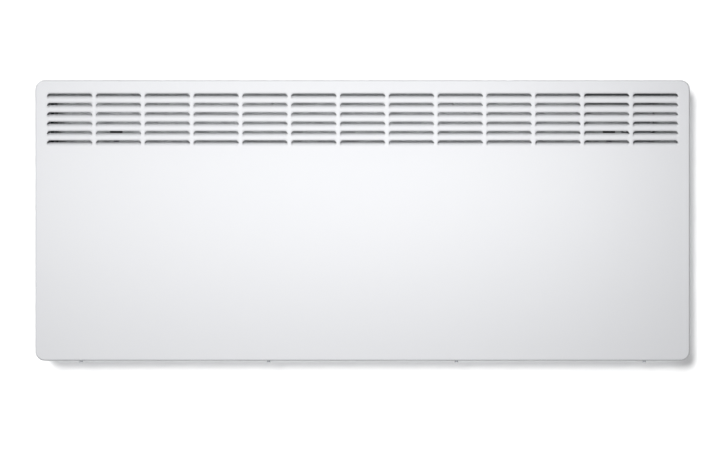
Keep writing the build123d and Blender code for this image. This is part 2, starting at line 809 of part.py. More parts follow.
def thermal_cutout():
    """The overheat cut-out, a disc thermostat on the dividing wall."""
    body = disc_x(element_y, cutout_z, cutout_radius, (head_x, head_x + cutout_length))
    ears = Pos(element_y, cutout_z) * SlotOverall(2 * cutout_ear, cutout_ear_width)
    body = body + plate(ears, (head_x, head_x + cutout_ear_sheet))
    blade_x = (head_x + cutout_length, head_x + cutout_length + cutout_blade)
    for side in (-1, 1):
        middle = element_y + side * cutout_blade_pitch / 2
        y = (middle - blade_sheet / 2, middle + blade_sheet / 2)
        body = body + block(blade_x, y, (cutout_z - blade_width / 2, cutout_z + blade_width / 2))
    return body


# ---------------------------------------------------------------- control panel
def control_fascia():
    """The flush plate on the top with a window and four button holes."""
    outline = Pos((fascia_x[0] + fascia_x[1]) / 2, panel_y)
    outline = outline * RectangleRounded(fascia_width, fascia_depth, fascia_corner)
    z = (fascia_low, half_height)
    body = layer(outline, z)
    body = chamfer(body.faces().sort_by(Axis.Z)[-1].edges(), fascia_chamfer)
    seat = Pos(window_x, panel_y) * RectangleRounded(window_width + 2 * play, window_depth + 2 * play, button_corner + play)
    sight = Pos(window_x, panel_y) * Rectangle(
        window_width - 2 * window_ledge, window_depth - 2 * window_ledge
    )
    cuts = [layer(seat, (half_height - window_sheet, half_height + 1)), layer(sight, (z[0] - 1, z[1]))]
    hole = RectangleRounded(button_width + 2 * play, button_depth + 2 * play, button_corner + play)
    cuts += [layer(Pos(x, panel_y) * hole, (z[0] - 1, z[1] + 1)) for x in button_xs]
    return body - cuts


def display_window():
    pane = Pos(window_x, panel_y) * RectangleRounded(window_width, window_depth, button_corner)
    return layer(pane, (half_height - window_sheet, half_height))


def control_housing():
    """The box under the control panel, with posts for the board and a slot for the ribbon."""
    shell = block(housing_x, housing_y, housing_z) - block(
        (housing_x[0] + housing_wall, housing_x[1] - housing_wall),
        (housing_y[0] + housing_wall, housing_y[1] - housing_wall),
        (housing_z[0] + housing_wall, housing_z[1] + 1),
    )
    inset = post_radius + board_gap
    for x in (board_x[0] + inset, board_x[1] - inset):
        for y in (board_y[0] + inset, board_y[1] - inset):
            shell = shell + disc_z(x, y, post_radius, (housing_z[0], board_top - board_sheet))
    way = Pos(ribbon_x, panel_y) * Rectangle(ribbon_sheet + 4 * play, ribbon_width + 4 * play)
    return shell - layer(way, (housing_z[0] - 1, housing_z[0] + housing_wall + 1))


def control_board():
    board = block(board_x, board_y, (board_top - board_sheet, board_top))
    notch = board_gap / 2
    corners = [disc_z(x, y, notch, (board_top - 2 * board_sheet, board_top + 1)) for x in board_x for y in board_y]
    return board - corners


def display_module():
    """The display under the window, standing on the board."""
    half = (window_width / 2 - display_margin[0], window_depth / 2 - display_margin[1])
    x = (window_x - half[0], window_x + half[0])
    y = (panel_y - half[1], panel_y + half[1])
    return block(x, y, (board_top, board_top + display_height))


def tact_switches():
    switches = []
    for x in button_xs:
        half = switch_size / 2
        body = block((x - half, x + half), (panel_y - half, panel_y + half), (board_top, board_top + switch_height))
        switches.append(body + disc_z(x, panel_y, switch_plunger_radius, (board_top, plunger_top)))
    return group(switches)


def button(index):
    """One key: cap, rim that stops it under the panel, and stem over its switch."""
    x = button_xs[index]
    top = half_height + button_proud
    cap = layer(Pos(x, panel_y) * RectangleRounded(button_width, button_depth, button_corner), (fascia_low - play, top))
    cap = fillet(cap.faces().sort_by(Axis.Z)[-1].edges(), button_edge)
    rim = RectangleRounded(button_width + 2 * button_rim, button_depth + 2 * button_rim, button_corner)
    low = fascia_low - play - button_rim_sheet
    key = cap + layer(Pos(x, panel_y) * rim, (low, fascia_low - play))
    key = key + disc_z(x, panel_y, button_stem_radius, (plunger_top + button_travel + hole_play, low))
    return key


# ---------------------------------------------------------------- power electronics and wiring compartment
def power_screws():
    """Screws that hold the power housing's tabs to the back panel: x, z."""
    xs = (power_x[0] - power_tab / 2, power_x[1] + power_tab / 2)
    return [(x, z) for x in xs for z in power_tab_zs]


def power_housing():
    """The tall narrow box of the power electronics, open on its right side, with four tabs."""
    inside = (
        (power_x[0] + power_wall, power_x[1] + 1),
        (power_y[0] + power_wall, power_y[1] - power_wall),
        (power_z[0] + power_wall, power_z[1] - power_wall),
    )
    box_x = (power_x[0], power_x[1] - power_wall)
    body = block(box_x, power_y, power_z) - block(*inside)
    for z in power_tab_zs:
        tab_z = (z - power_tab_height / 2, z + power_tab_height / 2)
        back = (inner_back_y - power_wall, inner_back_y)
        tabs = block((power_x[0] - power_tab, power_x[0]), back, tab_z)
        tabs = tabs + block((box_x[1] - power_wall, power_x[1] + power_tab), back, tab_z)
        body = body + tabs - block(*inside)
    return body - rivet_holes(power_screws(), (inner_back_y - 2 * power_wall, inner_back_y + 1))


def power_lid():
    """The lid on the right side of the power housing, with the ribbon's socket."""
    lid = block((power_x[1] - power_wall, power_x[1]), (power_y[0], power_y[1] - power_wall), power_z)
    z = (ribbon_low() - socket_height / 2, ribbon_low() + socket_height / 2)
    y = (panel_y - ribbon_width / 2 - socket_margin, panel_y + ribbon_width / 2 + socket_margin)
    return lid + block((power_x[1], power_x[1] + socket_depth), y, z)


def power_board():
    x = power_x[0] + power_wall + power_board_gap
    inner_y = (power_y[0] + power_wall, power_y[1] - power_wall)
    inner_z = (power_z[0] + power_wall + play, power_z[1] - power_wall - play)
    return block((x, x + board_sheet), inner_y, inner_z)


def relays():
    x = power_x[0] + power_wall + power_board_gap + board_sheet
    y = (power_y[0] + power_y[1]) / 2
    boxes = []
    for index in range(relay_count):
        z = (power_z[0] + power_z[1]) / 2 + (index - (relay_count - 1) / 2) * relay_pitch
        boxes.append(
            block(
                (x, x + relay_size[0]),
                (y - relay_size[1] / 2, y + relay_size[1] / 2),
                (z - relay_size[2] / 2, z + relay_size[2] / 2),
            )
        )
    return group(boxes)


def terminal_block():
    """Three clamps in a row for the supply leads, below, and the inner leads, above."""
    body = block(block_x, block_y, block_z)
    for x in terminal_xs():
        y = (block_y[0] + block_y[1]) / 2
        body = body - disc_z(x, y, terminal_bore, (block_z[0] - 1, block_z[0] + terminal_recess))
        body = body - disc_z(x, y, terminal_bore, (block_z[1] - terminal_recess, block_z[1] + 1))
        for z in (block_z[0] + terminal_screw_inset, block_z[1] - terminal_screw_inset):
            body = body - disc_y(x, z, terminal_screw_radius, (block_y[0] - 1, block_y[0] + terminal_recess))
    return body


def terminal_xs():
    pitch = terminal_block_size[0] / terminal_poles
    return [block_x[0] + (pole + 0.5) * pitch for pole in range(terminal_poles)]


def ribbon_low():
    return power_z[1] - ribbon_drop


def ribbon_cable():
    """The flat cable from the control board down to the power housing's lid."""
    end_x = power_x[1] + socket_depth
    down = board_top - board_sheet - ribbon_low()
    across = ribbon_x - end_x
    path = FilletPolyline(
        (ribbon_x, ribbon_low() + down),
        (ribbon_x, ribbon_low()),
        (end_x, ribbon_low()),
        radius=ribbon_bend * min(down, across),
    )
    return slab(trace(path, ribbon_sheet), (panel_y - ribbon_width / 2, panel_y + ribbon_width / 2))


def rocker_switch():
    """The body of the mains switch: bezel outside the back panel's right flange, box inside."""
    bezel = Pos(rocker_y, rocker_z) * RectangleRounded(bezel_depth, bezel_height, bezel_corner)
    body = plate(bezel, (tray_half_width, tray_half_width + bezel_sheet))
    body = chamfer(body.faces().sort_by(Axis.X)[-1].edges(), bezel_chamfer)
    box = Pos(rocker_y, rocker_z) * Rectangle(switch_body_depth, switch_body_height)
    body = body + plate(box, switch_x)
    half = rocker_width / 2 + play
    room = slab(
        Pos(rocker_x, rocker_z) * Circle(rocker_radius + play + hole_play),
        (rocker_y - half, rocker_y + half),
    )
    mouth = block(
        (rocker_x, tray_half_width + bezel_sheet + 1),
        (rocker_y - half, rocker_y + half),
        (rocker_z - rocker_radius - play - hole_play, rocker_z + rocker_radius + play + hole_play),
    )
    pin = disc_y(
        rocker_x,
        rocker_z,
        rocker_pin_radius + hole_play / 2,
        (rocker_y - switch_body_depth, rocker_y + switch_body_depth),
    )
    body = body - room - mouth - pin
    for z in switch_tab_zs():
        tab = block(
            (switch_x[0] - switch_tab_length, switch_x[0]),
            (rocker_y - blade_width / 2, rocker_y + blade_width / 2),
            (z - blade_sheet / 2, z + blade_sheet / 2),
        )
        body = body + tab
    return body


def switch_tab_zs():
    return (rocker_z - switch_tab_pitch / 2, rocker_z + switch_tab_pitch / 2)


def power_rocker():
    """The rocker, at rest in its off position, with its pivot pins."""
    rise = math.sqrt(rocker_radius**2 - rocker_half_length**2)
    outline = Polyline(
        (rise, -rocker_half_length),
        (rocker_dip, 0),
        (rise, rocker_half_length),
        (-rocker_radius, rocker_half_length),
        (-rocker_radius, -rocker_half_length),
        close=True,
    )
    section = make_face(outline) & Circle(rocker_radius)
    section = section - Pos(-rocker_radius, 0) * Rectangle(rocker_radius, 3 * rocker_radius)
    half = rocker_width / 2
    body = extrude(Plane.XZ.offset(-half) * section, 2 * half)
    pin_half = switch_body_depth / 2 - play
    pin = extrude(Plane.XZ.offset(-pin_half) * Circle(rocker_pin_radius), 2 * pin_half)
    return Pos(rocker_x, rocker_y, rocker_z) * (Rot(0, rocker_tilt, 0) * (body + pin))


def cable_gland():
    """The strain relief for the supply cable, through the back panel."""
    outside = (back_y, back_y + gland_collar_length)
    body = disc_y(gland_x, gland_z, gland_collar, outside)
    body = fillet(body.faces().sort_by(Axis.Y)[-1].edges(), gland_edge)
    body = body + disc_y(gland_x, gland_z, gland_radius, (gland_end, back_y))
    nut = Pos(gland_x, gland_z) * RegularPolygon(gland_nut, 6)
    body = body + slab(nut, (inner_back_y - gland_nut_length, inner_back_y))
    return body - disc_y(gland_x, gland_z, gland_bore, (gland_end - 1, outside[1] + 1))


def earth_stud():
    """The earth stud with its nut and washer, on the back panel."""
    stud = disc_y(earth_x, earth_z, earth_radius, (inner_back_y - earth_length, back_y))
    washer = disc_y(earth_x, earth_z, earth_nut, (inner_back_y - earth_washer, inner_back_y))
    nut = slab(
        Pos(earth_x, earth_z) * RegularPolygon(earth_nut, 6),
        (inner_back_y - earth_washer - earth_nut_length, inner_back_y - earth_washer),
    )
    return stud + washer + nut


def room_sensor():
    """The room temperature sensor in its holder on the grille, away from the duct."""
    x = half_width - sensor_inset
    y = element_y
    z = [grille_top]
    solids = []
    for wide, deep, high in (sensor_foot, sensor_post):
        z.append(z[-1] + high)
        solids.append(block((x - wide / 2, x + wide / 2), (y - deep / 2, y + deep / 2), (z[-2], z[-1])))
    foot, post = solids
    bead = disc_z(x, y, sensor_radius, (z[-1], z[-1] + sensor_length))
    bead = fillet(bead.faces().sort_by(Axis.Z)[-1].edges(), sensor_tip)
    return foot + post + bead


def chassis_rivets():
    """Rivets of the duct sheets, and the screws of the power housing's tabs."""
    pieces = [rivet(x, z, shield_y, duct_sheet * 2) for x, z in shield_rivets()]
    foot = inner_back_y - reflector_sheet
    pieces += [rivet(x, z, foot, reflector_sheet + tray_sheet) for x, z in reflector_rivets()]
    flange = inner_back_y - duct_sheet
    pieces += [rivet(x, z, flange, duct_sheet + tray_sheet) for x, z in cheek_rivets()]
    tab = inner_back_y - power_wall
    pieces += [rivet(x, z, tab, power_wall + tray_sheet) for x, z in power_screws()]
    return group(pieces)


# ---------------------------------------------------------------- internal wires
wire_radius = 1.3
wire_pitch = 2.8  # between cores that run side by side
lead_hole_pitch = 6.0  # between the leads where they leave the power housing
lead_hole_step = 4.0
lead_drop = 20.0  # first run, straight down
lead_lean = 5.0  # how far the next run leans to the left
lead_sag = 8.0
lead_spread = 2.0  # between neighbours on the way
lead_turn = 30.0  # last bend, to the right of the blade
lead_sleeve = 12.0  # last run, straight onto the blade
core_run = 12.0  # straight run inside the gland
core_tilt = 2.0
core_bow = 8.0
core_rise = 26.0
core_entry = 20.0  # straight run up to the terminal block
switch_rise = 12.0  # straight run above the terminal block
switch_gap = 8.0  # between the two leads of the switch
switch_arch = 9.0  # top of their arch above the straight run
switch_side = 20.0  # between the switch's blade and the run down
switch_sway = 2.0
switch_drop = 15.0  # last run down beside the switch


def element_leads():
    """Four leads from the foot of the power housing to the elements' blades, with their sleeves."""
    pieces = []
    for index, (y, z) in enumerate(blade_places()):
        place = len(blade_places()) - 1 - index
        start_x = power_x[0] + lead_hole_pitch * (place + 1)
        start_y = element_y + lead_hole_pitch - lead_hole_step * index
        x = head_x + head_length + blade_length
        side = 1 if index % 2 else -1
        points = [
            (start_x, start_y, power_z[0]),
            (start_x, start_y, power_z[0] - lead_drop),
            (start_x - lead_lean, (start_y + y) / 2 + side * lead_spread, (power_z[0] + z) / 2 - lead_sag),
            (x + lead_turn, y + side * lead_spread * 0.75, z + lead_sleeve - side * lead_spread / 2),
            (x + lead_sleeve, y, z),
            (x, y, z),
        ]
        pieces.append(wire(points, wire_radius))
    return group(pieces)


def supply_leads():
    """Three cores from the gland to the foot of the terminal block."""
    pieces = []
    y = (block_y[0] + block_y[1]) / 2
    for index, x in enumerate(terminal_xs()):
        shift = (index - (terminal_poles - 1) / 2) * wire_pitch
        points = [
            (gland_x + shift, gland_end - play, gland_z),
            (gland_x + shift, gland_end - core_run, gland_z + core_tilt),
            ((gland_x + x) / 2 + shift, gland_end - core_bow, gland_z + core_rise),
            (x, y, block_z[0] - core_entry),
            (x, y, block_z[0] + terminal_recess),
        ]
        pieces.append(wire(points, wire_radius))
    return group(pieces)


def switch_leads():
    """Two leads from the top of the terminal block to the mains switch."""
    pieces = []
    y = (block_y[0] + block_y[1]) / 2
    top = block_z[1]
    end = switch_x[0] - switch_tab_length
    for x, z, outer in zip(terminal_xs()[1:], reversed(switch_tab_zs()), (switch_gap, 0.0)):
        down_x = end - switch_side + outer
        points = [
            (x, y, top - terminal_recess),
            (x, y, top + switch_rise + outer),
            ((x + down_x) / 2, y - switch_sway / 2, top + switch_rise + switch_arch + outer),
            (down_x - switch_sway, y - switch_sway / 2, top + switch_rise + outer),
            (down_x + switch_sway / 2, (y + rocker_y) / 2, (top + z) / 2),
            (down_x - switch_sway / 2, rocker_y, z + switch_drop),
            (down_x + switch_sway / 2, rocker_y, z),
            (end, rocker_y, z),
        ]
        pieces.append(wire(points, wire_radius))
    return group(pieces)


# ---------------------------------------------------------------- wall bracket
def upright(side):
    """A hat-section upright with feet on the wall, two hooks and a tongue for the latch."""
    x = side * upright_x
    half = bracket_sheet / 2
    wall_x = upright_web / 2 - half
    front = web_y + half
    path = FilletPolyline(
        (-upright_web / 2 - upright_foot, -half),
        (-wall_x, -half),
        (-wall_x, front),
        (wall_x, front),
        (wall_x, -half),
        (upright_web / 2 + upright_foot, -half),
        radius=upright_bend,
    )
    body = layer(Pos(x, 0) * trace(path, bracket_sheet), upright_z)
    web = (web_y, web_y + bracket_sheet)
    tongue_z = (upright_z[1] - tongue_overlap, upright_z[1] + tongue_height)
    tongue = RectangleRounded(tongue_width, tongue_z[1] - tongue_z[0], tongue_corner)
    tongue = slab(Pos(x, (tongue_z[0] + tongue_z[1]) / 2) * tongue, web)
    body = body + tongue
    body = body - disc_y(x, latch_z, latch_radius + hole_play, (web[0] - 1, web[1] + 1))
    body = body - [
        disc_y(x + step * foot_x, z, wall_hole_radius, (-bracket_sheet - 1, 1.0))
        for step in (-1, 1)
        for z in wall_screw_zs
        if step == side
    ]
    for step in (-1, 1):
        middle = x + step * hook_spread / 2
        tip = back_y - hook_reach
        outline = Polyline(
            (web_y + bracket_sheet, hook_z - hook_root),
            (web_y, hook_z - hook_root),
            (web_y, hook_z - hook_neck),
            (tip, hook_z - hook_neck),
            (tip, hook_z + hook_tip),
            (tip + hook_tip_sheet, hook_z + hook_tip),
            (tip + hook_tip_sheet, hook_z),
            (web_y + bracket_sheet, hook_z),
            close=True,
        )
        body = body + plate(make_face(outline), (middle - hook_sheet / 2, middle + hook_sheet / 2))
    return body - rivet_holes(rail_rivets(side), (-bracket_sheet - 1, 1.0))


def rail_rivets(side):
    """Rivets that hold the rails to an upright's inner foot."""
    x = side * (upright_x - foot_x)
    return [(x, z + step * rivet_pitch / 2) for z in rail_zs for step in (-1, 1)]


def bracket_rail(z):
    """A flat strip between the two uprights, on top of their inner feet."""
    half = upright_x - upright_web / 2 - rail_end_gap
    y = (-2 * bracket_sheet, -bracket_sheet)
    strip = slab(Pos(0, z) * RectangleRounded(2 * half, rail_width, rail_corner), y)
    slots = [slab(Pos(step * half / 2, z) * SlotOverall(*rail_slot), (y[0] - 1, y[1] + 1)) for step in (-1, 1)]
    return strip - slots - rivet_holes(rail_rivets(-1) + rail_rivets(1), (y[0] - 1, y[1] + 1))


def bracket_rivets():
    places = rail_rivets(-1) + rail_rivets(1)
    return group([rivet(x, z, -2 * bracket_sheet, 2 * bracket_sheet) for x, z in places])


def latch(side):
    """A quarter-turn latch, locked: head in front of the back panel, lever behind, pointing up."""
    x = side * upright_x
    web_back = web_y + bracket_sheet
    hub = (web_back + play, web_back + play + latch_hub_length)
    head = slab(Pos(x, latch_z) * RectangleRounded(latch_head_length, latch_head_width, latch_head_corner), latch_head_y)
    body = head + disc_y(x, latch_z, latch_radius, (latch_head_y[1], hub[0]))
    body = body + disc_y(x, latch_z, latch_hub_radius, hub)
    lever = Pos(x, latch_z + lever_length / 2) * SlotOverall(lever_length + lever_width, lever_width, rotation=90)
    body = body + slab(lever, (hub[1] - lever_sheet, hub[1]))
    grip = Pos(x, latch_z + lever_length - lever_grip / 2) * SlotOverall(lever_grip, lever_grip_width, rotation=90)
    return body + slab(grip, (hub[1], hub[1] + lever_grip_sheet))


# ---------------------------------------------------------------- all pieces
parts = {
    "front_cover": front_cover(),
    "back_panel": back_panel(),
    "bottom_grille": bottom_grille(),
    "cover_screws": cover_screws(),
    "clip_nuts": clip_nuts(),
    "cover_clips": cover_clips(),
    "duct_cheek": duct_cheek(),
    "compartment_wall": divider(),
    "heat_shield": heat_shield(),
    "reflector": reflector(),
    "middle_support": middle_support(),
    "lower_fins": element_fins(element_zs[0]),
    "upper_fins": element_fins(element_zs[-1]),
    "lower_rod": element_rod(element_zs[0]),
    "upper_rod": element_rod(element_zs[-1]),
    "element_bushes": element_bushes(),
    "element_blades": element_blades(),
    "thermal_cutout": thermal_cutout(),
    "control_fascia": control_fascia(),
    "display_window": display_window(),
    "control_housing": control_housing(),
    "control_board": control_board(),
    "display_module": display_module(),
    "tact_switches": tact_switches(),
    "button_menu": button(0),
    "button_minus": button(1),
    "button_plus": button(2),
    "button_ok": button(3),
    "power_housing": power_housing(),
    "power_lid": power_lid(),
    "power_board": power_board(),
    "relays": relays(),
    "terminal_block": terminal_block(),
    "ribbon_cable": ribbon_cable(),
    "rocker_switch": rocker_switch(),
    "power_rocker": power_rocker(),
    "cable_gland": cable_gland(),
    "earth_stud": earth_stud(),
    "room_sensor": room_sensor(),
    "chassis_rivets": chassis_rivets(),
    "element_leads": element_leads(),
    "supply_leads": supply_leads(),
    "switch_leads": switch_leads(),
    "upright_left": upright(-1),
    "upright_right": upright(1),
    "rail_top": bracket_rail(rail_zs[1]),
    "rail_bottom": bracket_rail(rail_zs[0]),
    "bracket_rivets": bracket_rivets(),
    "latch_left": latch(-1),
    "latch_right": latch(1),
}

os.makedirs("parts", exist_ok=True)
for name, shape in parts.items():
    export_step(shape, f"parts/{name}.step")
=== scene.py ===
"""Wall panel convector heater: dresses the fixed model with its louvred cover, keys, leads and finishes."""

import json
import math

import bmesh
import bpy
import numpy as np
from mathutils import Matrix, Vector


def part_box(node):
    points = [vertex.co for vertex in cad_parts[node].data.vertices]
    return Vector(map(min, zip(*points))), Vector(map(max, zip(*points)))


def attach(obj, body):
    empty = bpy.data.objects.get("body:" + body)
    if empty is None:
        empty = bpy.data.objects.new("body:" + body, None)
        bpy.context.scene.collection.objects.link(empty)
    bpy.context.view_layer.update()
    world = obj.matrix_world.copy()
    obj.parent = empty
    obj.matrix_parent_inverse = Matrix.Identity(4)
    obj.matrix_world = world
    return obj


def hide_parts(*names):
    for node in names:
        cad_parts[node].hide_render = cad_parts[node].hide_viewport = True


bl_info = {
    "name": "Wall panel convector",
    "version": (1, 0, 0),
    "blender": (4, 5, 0),
    "location": "3D View > Sidebar > Convector",
    "description": "Builds the cover, keys, leads and finishes of a wall panel convector heater",
    "category": "Object",
}

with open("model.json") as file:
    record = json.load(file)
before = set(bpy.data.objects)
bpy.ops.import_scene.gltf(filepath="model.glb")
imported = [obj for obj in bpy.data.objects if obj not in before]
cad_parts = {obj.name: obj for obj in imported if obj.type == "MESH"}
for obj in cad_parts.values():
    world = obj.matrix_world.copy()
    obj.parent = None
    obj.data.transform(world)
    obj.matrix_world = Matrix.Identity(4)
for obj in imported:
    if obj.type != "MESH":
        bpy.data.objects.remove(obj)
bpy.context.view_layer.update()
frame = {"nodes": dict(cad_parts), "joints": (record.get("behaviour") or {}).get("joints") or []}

MM = 0.001
PHOTO_WIDTH, PHOTO_HEIGHT = 723, 452
COVER_LOW, COVER_HIGH = (np.array(corner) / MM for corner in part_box("front_cover"))
PANEL_CENTRE_PX = (362.6, 220.4)  # where the middle of the cover stands in the picture


def sRGB(code):
    """A hex colour as people write it, turned to the linear numbers that shaders use."""
    parts = [int(code[place : place + 2], 16) / 255 for place in (1, 3, 5)]
    return [p / 12.92 if p <= 0.04045 else ((p + 0.055) / 1.055) ** 2.4 for p in parts]


# ---------------------------------------------------------------- sizes and colours that a user may change
def length(name, description, millimetres):
    """A size, written in millimetres and kept in metres."""
    return bpy.props.FloatProperty(
        name=name, description=description, default=millimetres * MM, min=0.0, unit="LENGTH", precision=5
    )


def colour(name, description, code):
    """A colour, written as hex and kept as linear numbers."""
    return bpy.props.FloatVectorProperty(
        name=name, description=description, default=sRGB(code), min=0.0, max=1.0, size=3, subtype="COLOR"
    )


def share(name, description, default):
    """An amount of light or white, where one is full white."""
    return bpy.props.FloatProperty(
        name=name, description=description, default=default, min=0.0, max=4.0, subtype="FACTOR"
    )


class CoverSettings(bpy.types.PropertyGroup):
    """The louvred sheet at the front."""

    columns: bpy.props.IntProperty(name="Louvre columns", description="Side by side", default=13, min=1)
    rows: bpy.props.IntProperty(name="Louvre rows", description="One above another", default=6, min=1)
    pitch_x: length("Column pitch", "From louvre to louvre, sideways", 78.3)
    pitch_z: length("Row pitch", "From louvre to louvre, upwards", 15.0)
    top_margin: length("Top margin", "Top of the cover to the first slot", 21.5)
    louvre_width: length("Louvre width", "One louvre, end to end", 73.4)
    louvre_height: length("Louvre height", "Foot of the scoop to the top of the slot", 9.6)
    mouth: length("Mouth", "Height of the open slot", 3.2)
    scoop_depth: length("Scoop depth", "How far the scoop is pressed in", 5.0)
    scoop_end: length("Scoop end", "Length over which each end of the scoop fades out", 2.6)
    corner: length("Slot corner", "How far in from its end the slot starts to turn down", 5.0)
    hook: length("Slot hook", "How far down the ends of the slot reach", 7.0)
    sheet: length("Sheet", "Thickness of the steel", 1.0)
    outer_corner: length("Cover corner", "Radius of the cover's corners from the front", 15.0)
    edge: length("Cover edge", "Radius between the front and the flanges", 2.5)
    bottom_flange: length("Bottom flange", "How far the bottom reaches back", 22.0)
    gap: length("Gap", "Between the cover and what stands in its cut-outs", 0.3)
    paint: colour("Paint", "Powder coat of the cover", "#EBECEF")


class KeySettings(bpy.types.PropertyGroup):
    """The keys on the control panel."""

    stem: length("Stem", "Half the width of the stem under a key", 2.0)
    rim: length("Rim", "How far the rim that stops the key stands out", 1.0)
    rim_height: length("Rim height", "Thickness of the rim", 1.2)
    cap_height: length("Cap height", "Rim to the top of the cap", 2.8)
    corner: length("Cap corner", "Radius of the cap's corners from above", 1.2)
    dish: length("Dish", "How deep the top of the cap is dished", 0.35)
    sign: length("Sign", "How far the signs stand up", 0.16)


class FinishSettings(bpy.types.PropertyGroup):
    """Colours of what stands behind and on the cover."""

    zinc: colour("Zinc", "Hot-dip galvanised sheet", "#B0B2B4")
    aluminium: colour("Aluminium", "Rolled and extruded aluminium", "#C3C5C7")
    moulding: colour("White moulding", "Control panel", "#E9EAEB")
    key: colour("Keys", "Caps of the keys", "#DCDEE0")
    window: colour("Window", "Smoked acrylic", "#0B0C0E")
    bracket: colour("Bracket", "Powder coat of the wall bracket", "#8E9194")


class StageSettings(bpy.types.PropertyGroup):
    """Camera, lamps, wall and floor."""

    distance: length("Camera distance", "Camera to the front of the cover", 6000.0)
    scale: length("Scale of the picture", "Real length that one pixel shows at the front face", 1.6035)
    floor_drop: length("Floor", "Floor below the middle of the wall screws", 480.0)
    ambient: share("Surroundings", "Even light from all round", 0.085)
    key: share("Key light", "Even light from the upper left", 0.288)
    lamp: share("Soft box", "Light that fades from the top middle", 0.345)
    rim: share("Edge light", "Light that grazes the top and the left edges", 0.27)
    back: share("Back light", "Light on the back, for the views from there", 0.4)
    wall: share("Wall", "White of the wall, above one to make up for the low lamps", 2.38)
    floor: share("Floor white", "White of the floor under the lamps", 0.36)
    glow: share("Floor glow", "White that the floor shows by itself", 0.64)


def settings_mm(group):
    """A settings group as a dict, its lengths in millimetres."""
    values = {}
    for name, prop in group.bl_rna.properties.items():
        if name in ("rna_type", "name"):
            continue
        value = getattr(group, name)
        values[name] = value / MM if getattr(prop, "unit", "NONE") == "LENGTH" else value
    return values


# ---------------------------------------------------------------- meshes from numpy grids
def grid_faces(rows, columns, closed=False):
    """Quads of a grid numbered row by row; closed joins the last column to the first."""
    row = np.arange(rows - 1)[:, None] * columns
    here = np.arange(columns if closed else columns - 1)[None, :]
    after = (here + 1) % columns
    return np.stack([row + here, row + after, row + columns + after, row + columns + here], -1).reshape(-1, 4)


def make_mesh(name, parts, smooth=35.0, outward=None):
    """One mesh from several (points in mm, quads) patches, its shared points merged.

    Edges sharper than smooth, in degrees, stay sharp. outward=(point, direction) turns every face over if the
    face nearest to point looks against direction.
    """
    starts = np.cumsum([0] + [len(points) for points, _ in parts[:-1]])
    points = np.concatenate([points for points, _ in parts]) * MM
    quads = np.concatenate([quads + start for (_, quads), start in zip(parts, starts)])
    mesh = bpy.data.meshes.new(name)
    mesh.from_pydata(points.tolist(), [], quads.tolist())
    work = bmesh.new()
    work.from_mesh(mesh)
    bmesh.ops.remove_doubles(work, verts=work.verts, dist=2e-6)
    bmesh.ops.dissolve_degenerate(work, dist=1e-7, edges=work.edges)
    if outward is None:
        bmesh.ops.recalc_face_normals(work, faces=work.faces)
    else:
        place = Vector(outward[0]) * MM
        nearest = min(work.faces, key=lambda face: (face.calc_center_median() - place).length)
        if nearest.normal.dot(Vector(outward[1])) < 0:
            bmesh.ops.reverse_faces(work, faces=work.faces)
    work.to_mesh(mesh)
    work.free()
    mesh.shade_smooth()
    mesh.set_sharp_from_angle(angle=math.radians(smooth))
    return mesh


def make_piece(name, data, body, materials, nodes=()):
    """An object at the origin with its materials, on its body, in place of the nodes it stands for."""
    piece = bpy.data.objects.new(name, data)
    bpy.context.scene.collection.objects.link(piece)
    for material in materials:
        data.materials.append(material)
    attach(piece, body)
    if nodes:
        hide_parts(*nodes)
    return piece


def dress(material, *nodes):
    """Gives the fixed model's own pieces their material."""
    for node in nodes:
        piece = frame["nodes"][node]
        if not piece.material_slots:
            piece.data.materials.append(None)
        for place in piece.material_slots:
            place.material = material


def rounded_outline(half_width, half_depth, radius, steps=6):
    """Points round a rectangle with round corners, counter-clockwise from the right-hand side."""
    turn = np.linspace(0.0, math.pi / 2, steps + 1)
    corners = []
    for quarter, (side_x, side_y) in enumerate(((1, 1), (-1, 1), (-1, -1), (1, -1))):
        angle = turn + quarter * math.pi / 2
        corners.append(
            np.stack(
                [
                    side_x * (half_width - radius) + radius * np.cos(angle),
                    side_y * (half_depth - radius) + radius * np.sin(angle),
                ],
                -1,
            )
        )
    return np.concatenate(corners)


# ---------------------------------------------------------------- materials
# Patterns read places in metres, so a scale is how many cells lie in a metre. These are the broad ones.
PAINT_DRIFT = 4.0  # slow changes of tone in baked paint, 250 mm across
METAL_STAINS = 22.0  # stains on rolled or drawn metal, about 45 mm across
TEMPER_COLOURS = 9.0  # straw and blue along a fired tube, about 110 mm long
FLOW_MARKS = 30.0  # flow marks in a moulding, about 33 mm across
SMEARS = 90.0  # wiping smears on a polished window, about 11 mm across


def add(tree, kind, inputs=None, onto=None, output=0, **settings):
    """Adds a node with its settings and links.

    The inputs are numbers, colours or other nodes' outputs, and one of its own outputs may go onto a socket.
    """
    node = tree.nodes.new(kind)
    for name, value in settings.items():
        setattr(node, name, value)
    for name, value in (inputs or {}).items():
        socket = node.inputs[name]
        if isinstance(value, bpy.types.NodeSocket):
            tree.links.new(value, socket)
        else:
            socket.default_value = (*value, 1.0) if socket.type == "RGBA" else value
    if onto is not None:
        tree.links.new(node.outputs[output], onto)
    return node


def finish(name, colour, **numbers):
    """A material with one shader, and the coordinates that its patterns read."""
    material = bpy.data.materials.new(name)
    material.use_nodes = True
    tree = material.node_tree
    tree.nodes.clear()
    shader = add(tree, "ShaderNodeBsdfPrincipled", {"Base Color": colour})
    for socket, value in numbers.items():
        shader.inputs[socket.replace("_", " ").title().replace("Ior", "IOR")].default_value = value
    add(tree, "ShaderNodeOutputMaterial", {"Surface": shader.outputs[0]})
    place = add(tree, "ShaderNodeTexCoord").outputs["Object"]
    return material, tree, shader, place


